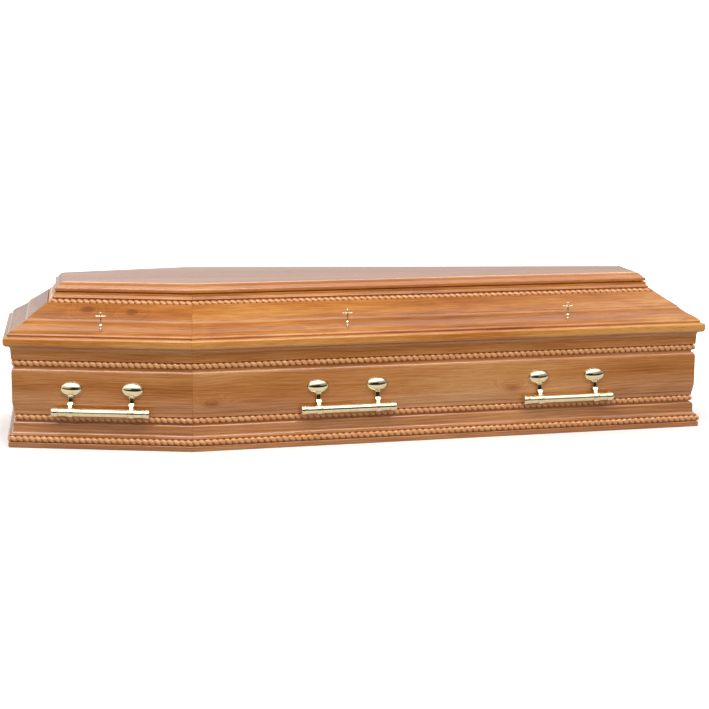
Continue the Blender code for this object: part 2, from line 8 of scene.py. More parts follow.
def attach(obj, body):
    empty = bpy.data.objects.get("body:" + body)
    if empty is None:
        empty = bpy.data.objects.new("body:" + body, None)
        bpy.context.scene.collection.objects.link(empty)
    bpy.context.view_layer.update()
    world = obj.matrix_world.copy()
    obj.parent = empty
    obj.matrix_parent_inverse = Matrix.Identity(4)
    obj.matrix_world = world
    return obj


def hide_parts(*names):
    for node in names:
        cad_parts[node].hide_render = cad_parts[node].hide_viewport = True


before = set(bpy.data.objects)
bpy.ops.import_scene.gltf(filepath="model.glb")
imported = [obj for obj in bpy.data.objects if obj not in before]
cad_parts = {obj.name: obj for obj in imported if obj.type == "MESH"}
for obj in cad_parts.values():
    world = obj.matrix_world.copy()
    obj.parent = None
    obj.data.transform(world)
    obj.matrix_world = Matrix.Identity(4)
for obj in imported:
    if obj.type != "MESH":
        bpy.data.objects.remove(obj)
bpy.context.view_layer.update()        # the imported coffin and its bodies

# Studio. The camera stands in front of the coffin's right-hand side, a little past its head end, and looks
# slightly down. The coffin stands on a plain white floor under long overhead strip lights. Reflections alone
# see a dark horizon, a dark far floor and a dark card, which give the brass its thin dark lines.
CAMERA_PLACE = Vector((-0.79051, -4.78902, 1.03407))
CAMERA_TURN = 0.1646342
CAMERA_DIP = 0.1707916
CAMERA_ROLL = 0.006217
CAMERA_LENS = 85.21


def add_object(name, data):
    """An object in the scene, holding a mesh, a camera or a light."""
    made = bpy.data.objects.new(name, data)
    bpy.context.scene.collection.objects.link(made)
    return made


camera = add_object("camera", bpy.data.cameras.new("camera"))
camera.data.lens = CAMERA_LENS
camera.data.clip_end = 100
camera.matrix_world = (Matrix.Translation(CAMERA_PLACE) @ Matrix.Rotation(-CAMERA_TURN, 4, "Z")
                       @ Matrix.Rotation(math.pi / 2 - CAMERA_DIP, 4, "X")
                       @ Matrix.Rotation(CAMERA_ROLL, 4, "Z"))
bpy.context.scene.camera = camera
bpy.context.scene.view_settings.view_transform = "Standard"


def linear(code):
    """An sRGB hex colour as linear red, green, blue and alpha."""
    parts = [int(code[i:i + 2], 16) / 255 for i in (0, 2, 4)]
    return [*(c / 12.92 if c <= 0.04045 else ((c + 0.055) / 1.055) ** 2.4 for c in parts), 1]


def new_material(name):
    """A new material, its node tree and its shader."""
    material = bpy.data.materials.new(name)
    material.use_nodes = True
    return material, material.node_tree, material.node_tree.nodes["Principled BSDF"]


def add_node(tree, kind, values=None, **settings):
    """Add a node. values maps input names or numbers to a value or to another node's output."""
    made = tree.nodes.new(kind)
    for name, value in settings.items():
        setattr(made, name, value)
    for key, value in (values or {}).items():
        if isinstance(value, bpy.types.NodeSocket):
            tree.links.new(value, made.inputs[key])
        else:
            made.inputs[key].default_value = value
    return made


def set_ramp(ramp, stops):
    """Give a colour ramp its stops, as (position, hex colour or grey value)."""
    elements = ramp.color_ramp.elements
    while len(elements) < len(stops):
        elements.new(1)
    for element, (position, look) in zip(elements, stops):
        element.position = position
        element.color = linear(look) if isinstance(look, str) else (look, look, look, 1)


world = bpy.data.worlds.new("studio")
bpy.context.scene.world = world
world.use_nodes = True
sky = world.node_tree
sky.nodes.clear()
direction = add_node(sky, "ShaderNodeTexCoord").outputs["Generated"]
toward = add_node(sky, "ShaderNodeSeparateXYZ", {0: direction}).outputs
rays = add_node(sky, "ShaderNodeLightPath").outputs
lighting = add_node(sky, "ShaderNodeValToRGB", {0: toward["Z"]})
set_ramp(lighting, [(0.02, 0.02), (0.07, 0.28), (0.17, 0.55), (0.50, 0.76), (1.0, 0.9)])
# Reflections from in front see a dark horizon and a bright skylight 40 to 80 degrees up
SKYLIGHT = 4.0
LEFT_SHARE = 1.25
RIGHT_SHARE = 0.6
BACKGROUND = 1.1
ahead = add_node(sky, "ShaderNodeValToRGB", {0: toward["Z"]})
set_ramp(ahead, [(0.03, 0.006), (0.09, 0.05), (0.20, 0.14), (0.50, 0.25), (0.64, 1.0), (0.982, 1.0),
                 (0.995, 0.12)])
# Reflections from behind see a grey sky that ends 60 to 70 degrees up
behind = add_node(sky, "ShaderNodeValToRGB", {0: toward["Z"]})
set_ramp(behind, [(0.0, 0.13), (0.18, 0.175), (0.45, 0.36), (0.87, 0.48), (0.95, 0.08), (1.0, 0.08)])
backward = add_node(sky, "ShaderNodeMapRange", {"Value": toward["Y"], "From Min": -0.10, "From Max": 0.03})
mirrored = add_node(sky, "ShaderNodeMix", {0: backward.outputs[0], 6: ahead.outputs[0],
                                           7: behind.outputs[0]}, data_type="RGBA").outputs[2]
leftward = add_node(sky, "ShaderNodeMapRange", {"Value": toward["X"], "From Min": -0.8, "From Max": 0.8,
                                                "To Min": LEFT_SHARE * SKYLIGHT,
                                                "To Max": RIGHT_SHARE * SKYLIGHT})
mirrored = add_node(sky, "ShaderNodeMath", {0: mirrored, 1: leftward.outputs[0]}, operation="MULTIPLY")
strength = add_node(sky, "ShaderNodeMix", {0: rays["Is Glossy Ray"], 2: lighting.outputs[0],
                                           3: mirrored.outputs[0]})
strength = add_node(sky, "ShaderNodeMix", {0: rays["Is Camera Ray"], 2: strength.outputs[0], 3: BACKGROUND})
glow = add_node(sky, "ShaderNodeBackground", {"Color": (0.955, 0.97, 1, 1), "Strength": strength.outputs[0]})
add_node(sky, "ShaderNodeOutputWorld", {"Surface": glow.outputs[0]})

# The floor is dark to reflections past a line in front of the coffin, and brightens outwards until it
# can't be told from the white background
FLOOR_REACH = 30
DARK_FLOOR_FROM = -0.80
DARK_FLOOR_TO = -1.05
FADE_FROM = 1.2
FADE_TO = 3.0
NEAR_GLOW = 0.22
MIRRORED_GLOW = 0.24
floor_mesh = bpy.data.meshes.new("studio_floor")
floor_mesh.from_pydata([(-FLOOR_REACH, -FLOOR_REACH, 0), (FLOOR_REACH, -FLOOR_REACH, 0),
                        (FLOOR_REACH, FLOOR_REACH, 0), (-FLOOR_REACH, FLOOR_REACH, 0)], [], [(0, 1, 2, 3)])
paper, tree, shader = new_material("matt_white_paper")
rays = add_node(tree, "ShaderNodeLightPath").outputs
place = add_node(tree, "ShaderNodeTexCoord").outputs["Object"]
ahead = add_node(tree, "ShaderNodeSeparateXYZ", {0: place}).outputs["Y"]
ahead = add_node(tree, "ShaderNodeMapRange", {"Value": ahead, "From Min": DARK_FLOOR_FROM,
                                              "From Max": DARK_FLOOR_TO}).outputs[0]
mirrored = add_node(tree, "ShaderNodeMix", {0: ahead, 6: linear("D9D8D6"), 7: linear("241F1B")},
                    data_type="RGBA")
bounced = add_node(tree, "ShaderNodeMix", {0: rays["Is Diffuse Ray"], 6: linear("F4F3F1"),
                                           7: linear("A6A4A1")}, data_type="RGBA").outputs[2]
ground = add_node(tree, "ShaderNodeMix", {0: rays["Is Glossy Ray"], 6: bounced, 7: mirrored.outputs[2]},
                  data_type="RGBA").outputs[2]
tree.links.new(ground, shader.inputs["Base Color"])
tree.links.new(ground, shader.inputs["Emission Color"])
shader.inputs["Roughness"].default_value = 1.0
shader.inputs["Specular IOR Level"].default_value = 0.0
away = add_node(tree, "ShaderNodeVectorMath", {0: place}, operation="LENGTH").outputs["Value"]
lift = add_node(tree, "ShaderNodeMapRange", {"Value": away, "From Min": FADE_FROM, "From Max": FADE_TO,
                                             "To Min": NEAR_GLOW, "To Max": BACKGROUND}).outputs[0]
lift = add_node(tree, "ShaderNodeMath", {0: rays["Is Camera Ray"], 1: lift}, operation="MULTIPLY").outputs[0]
lift = add_node(tree, "ShaderNodeMath", {0: rays["Is Glossy Ray"], 1: MIRRORED_GLOW, 2: lift},
                operation="MULTIPLY_ADD")
tree.links.new(lift.outputs[0], shader.inputs["Emission Strength"])
floor_mesh.materials.append(paper)
studio_floor = add_object("studio_floor", floor_mesh)

# The dark card stands in front of the coffin, and only reflections see it
CARD_LEFT = -1.7
CARD_RIGHT = 0.9
CARD_AWAY = -2.3
CARD_LOW = 0.01
CARD_TOP = 0.85
card_mesh = bpy.data.meshes.new("dark_card")
card_mesh.from_pydata([(CARD_LEFT, CARD_AWAY, CARD_LOW), (CARD_RIGHT, CARD_AWAY, CARD_LOW),
                       (CARD_RIGHT, CARD_AWAY, CARD_TOP), (CARD_LEFT, CARD_AWAY, CARD_TOP)],
                      [], [(0, 1, 2, 3)])
felt, tree, shader = new_material("dark_felt")
shader.inputs["Base Color"].default_value = linear("2A251C")
shader.inputs["Roughness"].default_value = 1.0
card_mesh.materials.append(felt)
dark_card = add_object("dark_card", card_mesh)
dark_card.visible_camera = dark_card.visible_diffuse = dark_card.visible_shadow = False

# Each lamp's name, place, length and width, and power. The softbox isn't seen in reflections.
AIM_HEIGHT = 0.25
AIM_SHARE = 0.6
for light_name, spot, size, power in (("front_strip", (-0.5, -2.15, 3.2), (4.4, 0.35), 58),
                                      ("back_strip", (0.3, 2.4, 3.0), (4.0, 0.35), 35),
                                      ("front_softbox", (0.4, -4.8, 2.3), (2.4, 1.8), 46)):
    lamp = bpy.data.lights.new(light_name, "AREA")
    lamp.shape = "RECTANGLE"
    lamp.size, lamp.size_y = size
    lamp.energy = power
    light = add_object(light_name, lamp)
    light.location = spot
    light.visible_glossy = light_name != "front_softbox"
    light.rotation_mode = "QUATERNION"
    aim = Vector((spot[0] * AIM_SHARE, 0, AIM_HEIGHT)) - Vector(spot)
    light.rotation_quaternion = aim.to_track_quat("-Z", "Y")

# Floor board. A plain board of raw pine that closes the coffin from below, inside the walls. It can only be
# seen from underneath, so it is sawn and sanded but not stained or varnished.
raw_pine, tree, shader = new_material("sanded_raw_pine")
place = add_node(tree, "ShaderNodeTexCoord").outputs["Object"]
stretched = add_node(tree, "ShaderNodeMapping", {0: place, 3: (2.5, 60, 60)})
streaks = add_node(tree, "ShaderNodeTexNoise", {"Vector": stretched.outputs[0], "Scale": 1.0, "Detail": 4.0})
pine = add_node(tree, "ShaderNodeValToRGB", {0: streaks.outputs[0]})
set_ramp(pine, [(0.3, "B98A55"), (0.55, "D3A970"), (0.8, "E0BE8C")])
tree.links.new(pine.outputs[0], shader.inputs["Base Color"])
shader.inputs["Roughness"].default_value = 0.75
floor_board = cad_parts["floor_board"]
for material_slot in floor_board.material_slots:
    material_slot.material = raw_pine

# Wall boards. Six boards of oak stand on edge round the floor board and are mitred at the corners. Each has a
# rebate for the base moulding, a fillet, a gently bellied panel with a rounded top, a seat for the upper rope
# and a plain frieze that flares out under the lid. Stained orange-brown and varnished to a high gloss.
LENGTH = 1.950
HEAD_TO_SHOULDER = 0.482
HEAD_WIDTH = 0.436
SHOULDER_WIDTH = 0.680
FOOT_WIDTH = 0.413
WALL_THICKNESS = 0.026
JOINT_GAP = 0.0003
EDGE_EASE = 0.0008
ROPE_WIDTH = 0.018
ROPE_DEPTH = 0.009
MIDDLE_ROPE_SETBACK = 0.0035
BEVEL_LOW = 0.0911
BEVEL_SETBACK = 0.0050
BEVEL_UNDERCUT = 0.0012
PANEL_LOW = 0.1031
PANEL_FOOT_RISE = 0.022
PANEL_FOOT_SETBACK = 0.0032
PANEL_FOOT_STEPS = 6
PANEL_TOP = 0.2181
PANEL_ROUND = 0.0135
PANEL_ROUND_DEPTH = 0.0088
FRIEZE_LOW = 0.2417
FRIEZE_REACH = 0.0014
FRIEZE_FLARE = 0.005
FRIEZE_COVE = 0.009
FRIEZE_LIP = 0.001
BODY_HEIGHT = 0.2782
SIDES = ("right_shoulder", "right_side", "foot_end", "left_side", "left_shoulder", "head_end")


def panel_corners():
    """The six corners of the line through the panel faces, anticlockwise from the right head corner."""
    head, foot = -LENGTH / 2, LENGTH / 2
    shoulder = head + HEAD_TO_SHOULDER
    right = [Vector((head, -HEAD_WIDTH / 2)), Vector((shoulder, -SHOULDER_WIDTH / 2)),
             Vector((foot, -FOOT_WIDTH / 2))]
    return right + [Vector((corner.x, -corner.y)) for corner in reversed(right)]


def side_frame(side):
    """Start corner, direction and outward normal of a side, and its length."""
    corners = panel_corners()
    start = corners[side]
    run = corners[(side + 1) % 6] - start
    along = run.normalized()
    return start, along, Vector((along.y, -along.x)), run.length


def corner_at(corner, offset):
    """Where the two sides at a corner cross when both are moved out by an offset."""
    before = side_frame((corner - 1) % 6)
    after = side_frame(corner)
    bisector = (before[2] + after[2]).normalized()
    return after[0] + bisector * (offset / bisector.dot(after[2]))


def arc(centre, radii, start, end, steps):
    """Points of an elliptical arc, with angles in degrees."""
    angles = [math.radians(start + (end - start) * i / steps) for i in range(steps + 1)]
    return [(centre[0] + radii[0] * math.cos(a), centre[1] + radii[1] * math.sin(a)) for a in angles]


SHARP_TURN = math.radians(28)
EASE_SHARE = 0.35
EASE_SWELL = 0.42
LONG_FACE = 0.006
HOLD_INSET = 0.001


def eased(points, ease=EDGE_EASE):
    """A closed profile with its sharp corners sanded round and its long faces held flat."""
    points = [Vector(point) for point in points]
    rounded = []
    for i, point in enumerate(points):
        before = points[i - 1] - point
        after = points[(i + 1) % len(points)] - point
        turn = math.pi - before.angle(after)
        if turn < SHARP_TURN:
            rounded.append(point)
            continue
        cut = min(ease, before.length * EASE_SHARE, after.length * EASE_SHARE)
        first = point + before.normalized() * cut
        last = point + after.normalized() * cut
        middle = (first + last) / 2
        rounded += [first, middle + (point - middle) * EASE_SWELL, last]
    held = []
    for i, point in enumerate(rounded):
        held.append(point)
        after = rounded[(i + 1) % len(rounded)] - point
        if after.length > LONG_FACE:
            inset = after.normalized() * HOLD_INSET
            held += [point + inset, point + after - inset]
    return held


def shrunk(points, depth):
    """A closed profile drawn in by a depth all round."""
    area = sum(points[i - 1].x * point.y - point.x * points[i - 1].y for i, point in enumerate(points))
    sign = 1 if area > 0 else -1
    moved = []
    for i, point in enumerate(points):
        run = points[(i + 1) % len(points)] - points[i - 1]
        inward = Vector((-run.y, run.x)).normalized() * sign
        moved.append(point + inward * depth)
    return moved


def finished(bm, name):
    """The mesh of a bmesh, which is then freed."""
    mesh = bpy.data.meshes.new(name)
    bm.to_mesh(mesh)
    bm.free()
    return mesh


def skin(bm, loops):
    """Faces from each loop of vertices to the next."""
    for first, second in zip(loops, loops[1:]):
        for i in range(len(first)):
            bm.faces.new((first[i - 1], first[i], second[i], second[i - 1]))


def cap(bm, loops):
    """A face on the first and on the last loop."""
    bm.faces.new(loops[0])
    bm.faces.new(loops[-1])


def mitred_mesh(side, profile, seed, tone):
    """A board's mesh: the profile along a side, mitred at both corners, with the grain along the board."""
    start, along, out, length = side_frame(side)
    outline = eased(profile)
    mitres = []
    for corner, sign in ((side, 1), ((side + 1) % 6, -1)):
        at_line = (corner_at(corner, 0) - start).dot(along)
        lean = (corner_at(corner, 1) - start).dot(along) - at_line
        mitres.append((at_line + sign * JOINT_GAP / 2 * math.hypot(1, lean), lean))
    bm = bmesh.new()
    grain = bm.verts.layers.float_vector.new("board_grain")
    shade = bm.verts.layers.float.new("board_tone_and_shade")
    rows = []
    drawn = shrunk(outline, EDGE_EASE / 2)
    for end, step, points in ((0, 0, drawn), (0, EDGE_EASE / 2, outline), (1, -EDGE_EASE / 2, outline),
                              (1, 0, drawn)):
        row = []
        for offset, height in points:
            run = mitres[end][0] + mitres[end][1] * offset + step
            spot = start + along * run + out * offset
            vert = bm.verts.new((spot.x, spot.y, height))
            vert[grain] = (run + seed, offset, height)
            vert[shade] = tone
            row.append(vert)
        rows.append(row)
    skin(bm, rows)
    cap(bm, rows)
    bmesh.ops.recalc_face_normals(bm, faces=bm.faces)
    return finished(bm, "board")


def shade_smooth(mesh, angle=35):
    """Smooth shading with edges left sharp past an angle."""
    for polygon in mesh.polygons:
        polygon.use_smooth = True
    mesh.set_sharp_from_angle(angle=math.radians(angle))


def place_piece(name, mesh, material, body, slot, *nodes):
    """Put a finished mesh in the scene as a piece that rides on a body and stands for CAD nodes."""
    mesh.name = name
    mesh.materials.clear()
    mesh.materials.append(material)
    piece = add_object(name, mesh)
    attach(piece, body)
    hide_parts(*nodes)


VARNISH = {"Roughness": 0.45, "Specular IOR Level": 0.1, "Coat Weight": 1.0, "Coat IOR": 1.5}


def varnished_oak(name, light, middle, dark, knots):
    """Stained oak under gloss varnish: growth rings bent round knots, fine dark pores and slow bands of
    tone, all along the board, with a clear coat that gives sharp highlights on every rounded edge."""
    material, tree, shader = new_material(name)
    grain = add_node(tree, "ShaderNodeAttribute", attribute_name="board_grain").outputs["Vector"]
    axes = add_node(tree, "ShaderNodeSeparateXYZ", {0: grain})
    # Noises with their cells per metre along, into and up the board, their detail and their roughness. The
    # swing bends the rings. Flame streaks are 60 to 150 mm long and 3 mm high. Pores are 20 to 60 mm long and
    # about 1.5 mm wide, wider than real ones so that they show. Bands of tone are 40 to 80 mm high and half
    # a metre long. The ripple is the varnish's own, 25 mm across.
    noises = {}
    for pattern, cells, detail, rough in (("swing", (1.9, 4.0, 6.0), 2.0, 0.5),
                                          ("flame", (10, 190, 300), 2.0, 0.55),
                                          ("pores", (26, 420, 560), 3.0, 0.62),
                                          ("bands", (1.8, 12, 16), 3.0, 0.5),
                                          ("ripple", (9, 40, 40), 2.0, 0.5)):
        stretched = add_node(tree, "ShaderNodeMapping", {0: grain, 3: cells}).outputs[0]
        noise = add_node(tree, "ShaderNodeTexNoise", {"Vector": stretched, "Scale": 1.0, "Detail": detail,
                                                      "Roughness": rough})
        noises[pattern] = noise.outputs[0]
    # The rings are level lines of height plus depth, which rise and fall slowly along the board
    field = add_node(tree, "ShaderNodeMath", {0: axes.outputs["Y"], 1: 0.6, 2: axes.outputs["Z"]},
                     operation="MULTIPLY_ADD").outputs[0]
    field = add_node(tree, "ShaderNodeMath", {0: noises["swing"], 1: 0.060, 2: field},
                     operation="MULTIPLY_ADD").outputs[0]
    # The tone attribute holds each board's own tone and the painted shade of the friezes
    tone_knots_and_shade = add_node(tree, "ShaderNodeAttribute", attribute_name="board_tone_and_shade").outputs["Fac"]
    for run, height, width in knots:
        away = add_node(tree, "ShaderNodeVectorMath", {0: grain, 1: (run, 0, height)}, operation="SUBTRACT")
        away = add_node(tree, "ShaderNodeVectorMath",
                        {0: away.outputs[0], 1: (1 / width, 0, 2.4 / width)}, operation="MULTIPLY")
        far = add_node(tree, "ShaderNodeVectorMath", {0: away.outputs[0], 1: away.outputs[0]},
                       operation="DOT_PRODUCT").outputs["Value"]
        hump = add_node(tree, "ShaderNodeMath", {0: far, 1: -1.0}, operation="MULTIPLY").outputs[0]
        hump = add_node(tree, "ShaderNodeMath", {0: hump}, operation="EXPONENT").outputs[0]
        field = add_node(tree, "ShaderNodeMath", {0: hump, 1: 0.050, 2: field},
                         operation="MULTIPLY_ADD").outputs[0]
        heart = add_node(tree, "ShaderNodeMath", {0: hump, 1: 5.0}, operation="POWER").outputs[0]
        tone_knots_and_shade = add_node(tree, "ShaderNodeMath", {0: heart, 1: -0.45, 2: tone_knots_and_shade},
                          operation="MULTIPLY_ADD").outputs[0]
    # Rings 4 to 8 mm apart
    ring_place = add_node(tree, "ShaderNodeMath", {0: field, 1: 170.0}, operation="MULTIPLY").outputs[0]
    rings = add_node(tree, "ShaderNodeTexNoise", {"W": ring_place, "Scale": 1.0, "Detail": 2.0,
                                                  "Roughness": 0.6}, noise_dimensions="1D")
    pore_mask = add_node(tree, "ShaderNodeMapRange", {"Value": noises["pores"], "From Min": 0.53,
                                                      "From Max": 0.70})
    mixed = tone_knots_and_shade
    for pattern, share in ((noises["bands"], 1.1), (rings.outputs[0], 0.42), (noises["flame"], 0.7)):
        mixed = add_node(tree, "ShaderNodeMath", {0: pattern, 1: share, 2: mixed},
                         operation="MULTIPLY_ADD").outputs[0]
    spread = add_node(tree, "ShaderNodeMapRange", {"Value": mixed, "From Min": 0.74, "From Max": 1.48})
    colour = add_node(tree, "ShaderNodeValToRGB", {0: spread.outputs[0]})
    set_ramp(colour, [(0.0, dark), (0.5, middle), (1.0, light)])
    pored = add_node(tree, "ShaderNodeMath", {0: pore_mask.outputs[0], 1: 0.5}, operation="MULTIPLY")
    stained = add_node(tree, "ShaderNodeMix", {0: pored.outputs[0], 6: colour.outputs[0],
                                               7: linear(dark)}, data_type="RGBA")
    tree.links.new(stained.outputs[2], shader.inputs["Base Color"])
    relief = add_node(tree, "ShaderNodeMath", {0: pore_mask.outputs[0], 1: -0.06, 2: noises["ripple"]},
                      operation="MULTIPLY_ADD")
    bump = add_node(tree, "ShaderNodeBump", {"Height": relief.outputs[0], "Strength": 0.35,
                                             "Distance": 0.0006})
    tree.links.new(bump.outputs[0], shader.inputs["Normal"])
    for socket, value in VARNISH.items():
        shader.inputs[socket].default_value = value
    shader.inputs["Coat Roughness"].default_value = 0.06
    return material


# Knots as distance along the board plus its seed, height and half width: two show on the long right panel
wall_oak = varnished_oak("gloss_varnished_oak", "D39C62", "BC7A42", "93561F",
                         ((20.052, 0.127, 0.044), (20.914, 0.138, 0.054), (41.30, 0.150, 0.045)))
BOARD_SEEDS = {"right_shoulder": 10, "right_side": 20, "foot_end": 30, "left_side": 40, "left_shoulder": 50,
               "head_end": 60}
BOARD_TONES = {"right_shoulder": -0.02, "right_side": 0.07, "foot_end": 0.0, "left_side": 0.03,
               "left_shoulder": -0.02, "head_end": 0.02}
# The friezes are painted darker, as shade under the lid's overhang; on the two shoulders they are painted a
# little lighter instead
FRIEZE_SHADE_BY_SIDE = {"right_shoulder": 0.05, "left_shoulder": 0.05}
FRIEZE_PAINTED_SHADE = -0.15
TONE_MARGIN = 0.001


def wall_profile():
    """Rebate, fillet, bellied panel, upper rope seat and flared frieze."""
    middle_seat = -MIDDLE_ROPE_SETBACK - ROPE_DEPTH - JOINT_GAP
    upper_seat = -ROPE_DEPTH - JOINT_GAP
    lip = FRIEZE_REACH + FRIEZE_FLARE
    points = [(-WALL_THICKNESS, 0), (middle_seat, 0), (middle_seat, BEVEL_LOW), (-BEVEL_SETBACK, BEVEL_LOW),
              (-BEVEL_SETBACK, PANEL_LOW - BEVEL_UNDERCUT)]
    for i in range(PANEL_FOOT_STEPS + 1):
        share = i / PANEL_FOOT_STEPS
        points.append((-PANEL_FOOT_SETBACK * math.cos(math.pi / 2 * share) ** 1.5,
                       PANEL_LOW + PANEL_FOOT_RISE * share))
    points += arc((-PANEL_ROUND_DEPTH, PANEL_TOP - PANEL_ROUND), (PANEL_ROUND_DEPTH, PANEL_ROUND), 0, 90, 12)
    points += [(upper_seat, PANEL_TOP), (upper_seat, FRIEZE_LOW), (0, FRIEZE_LOW)]
    points += arc((lip, BODY_HEIGHT - FRIEZE_COVE - FRIEZE_LIP), (FRIEZE_FLARE, FRIEZE_COVE), 180, 90, 8)
    return points + [(lip, BODY_HEIGHT), (-WALL_THICKNESS, BODY_HEIGHT)]


for side, side_name in enumerate(SIDES):
    board = mitred_mesh(side, wall_profile(), BOARD_SEEDS[side_name], BOARD_TONES[side_name])
    # Painted shade: the frieze's tone is lowered where the lid overhangs it
    tones = board.attributes["board_tone_and_shade"].data
    for vert in board.vertices:
        if vert.co.z > FRIEZE_LOW - TONE_MARGIN:
            tones[vert.index].value += FRIEZE_SHADE_BY_SIDE.get(side_name, FRIEZE_PAINTED_SHADE)
    shade_smooth(board)
    place_piece(f"{side_name}_wall_board", board, wall_oak, "coffin", "varnished_oak", f"wall_{side_name}")

# Base mouldings. Six lengths of one run moulding, mitred and glued into the rebate of the walls: a rounded
# nose on the floor, the seat of the base rope, a bead, a deep cove and the ledge under the middle rope.
BASE_HEIGHT = 0.070
BASE_NOSE_REACH = 0.0128
BASE_NOSE_ROUND = 0.003
BASE_ROPE_LOW = 0.0155
BASE_ROPE_REACH = 0.0148
BASE_COVE_LOW = 0.0350
BASE_COVE_HEIGHT = 0.0125
BASE_COVE_REACH = 0.0095
LEDGE_SETBACK = 0.0015
LEDGE_ROUND = 0.0055
LEDGE_DROP = 0.0095
BASE_GRAIN_SHIFT = 3.3
BASE_TONE = -0.08


def base_profile():
    """Nose, rope seat, bead, cove and ledge."""
    back = -MIDDLE_ROPE_SETBACK - ROPE_DEPTH
    seat = BASE_ROPE_REACH - ROPE_DEPTH - JOINT_GAP
    nose_top = BASE_ROPE_LOW - JOINT_GAP
    rope_top = BASE_ROPE_LOW + ROPE_WIDTH + JOINT_GAP
    cove_top = BASE_COVE_LOW + BASE_COVE_HEIGHT
    nose = BASE_NOSE_REACH - BASE_NOSE_ROUND
    nose_radii = (BASE_NOSE_ROUND, BASE_NOSE_ROUND)
    ledge = -LEDGE_SETBACK - LEDGE_ROUND
    points = [(back, 0)] + arc((nose, BASE_NOSE_ROUND), nose_radii, 270, 360, 5)
    points += arc((nose, nose_top - BASE_NOSE_ROUND), nose_radii, 0, 90, 5)
    points += [(seat, nose_top), (seat, rope_top), (BASE_COVE_REACH, rope_top)]
    points += arc((BASE_COVE_REACH, cove_top), (BASE_COVE_REACH + LEDGE_SETBACK, BASE_COVE_HEIGHT),
                  270, 180, 14)
    points += arc((ledge, BASE_HEIGHT - LEDGE_DROP), (LEDGE_ROUND, LEDGE_DROP), 0, 90, 10)
    return points + [(back, BASE_HEIGHT)]


for side, side_name in enumerate(SIDES):
    board = mitred_mesh(side, base_profile(), BOARD_SEEDS[side_name] + BASE_GRAIN_SHIFT,
                        BOARD_TONES[side_name] + BASE_TONE)
    shade_smooth(board)
    place_piece(f"{side_name}_skirting", board, wall_oak, "coffin", "varnished_oak",
                f"base_moulding_{side_name}")

# Lid mouldings. Six heavy lengths of oak, mitred, form the sloping sides of the lid: a rounded rim that
# overhangs the walls, a groove, a long ogee, a small step, a nearly straight slope, the rope's seat, a
# splayed fillet and the narrow dark recess under the top board. The inside is one plain splay.
LID_LOW = BODY_HEIGHT + JOINT_GAP
LID_BEARING = 0.016
RIM_REACH = 0.0206
RIM_HEIGHT = 0.0265
RIM_UNDER_RUN = 0.010
RIM_UNDER_RISE = 0.012
RIM_ROUND = 0.0065
GROOVE_REACH = 0.009
GROOVE_DEPTH = 0.002
OGEE_FOOT = LID_LOW + 0.031
OGEE_RISE = 0.039
OGEE_RUN = 0.0535
# The ogee's run and rise as shares: a steep foot, then rounded below and hollow above
OGEE_CURVE = ((0, 0), (0.008, 0.045), (0.03, 0.085), (0.09, 0.158), (0.17, 0.245), (0.27, 0.333),
              (0.38, 0.412), (0.52, 0.513), (0.68, 0.638), (0.80, 0.745), (0.89, 0.84), (0.95, 0.925), (1, 1))
STEP_RISE = 0.0015
SLOPE_LOW = OGEE_FOOT + OGEE_RISE + STEP_RISE
SLOPE_RISE = 0.0361
SLOPE_RUN = 0.0539
SLOPE_SAG = 0.0008
SLOPE_STEPS = 8
CAP_SLOPE_RUN = 0.0068
CAP_SLOPE_RISE = 0.0060
CAP_FILLET_RISE = 0.0068
CAP_FILLET_EASE = 0.0020
CAP_RECESS = 0.0095
CAP_RECESS_RISE = 0.0030
SEAT_TILT = math.radians(42)
LID_ROPE_SINK = 0.0085
BOARD_SEAT = 0.019
LID_NECK = 0.020
LID_GRAIN_SHIFT = 0.02
RIM_TONE = 0.13
RIM_TONE_TOP = LID_LOW + RIM_HEIGHT + TONE_MARGIN / 2
lid_oak = varnished_oak("gloss_varnished_lid_oak", "DC9C50", "BE7226", "8A480A",
                        ((10.215, 0.371, 0.034), (10.340, 0.367, 0.030)))


def lid_seat():
    """Low and high front corners of the lid's rope seat, and the unit vectors up the slope and into it."""
    low = Vector((GROOVE_REACH - OGEE_RUN - SLOPE_RUN, SLOPE_LOW + SLOPE_RISE))
    up = Vector((-math.cos(SEAT_TILT), math.sin(SEAT_TILT)))
    inward = Vector((-math.sin(SEAT_TILT), -math.cos(SEAT_TILT)))
    return low, low + up * (ROPE_WIDTH + 2 * JOINT_GAP), up, inward


def lid_shoulder():
    """Outer top corner of the lid mouldings, under the top board."""
    high = lid_seat()[1]
    return high.x - CAP_SLOPE_RUN - CAP_RECESS, high.y + CAP_SLOPE_RISE + CAP_FILLET_RISE + CAP_RECESS_RISE


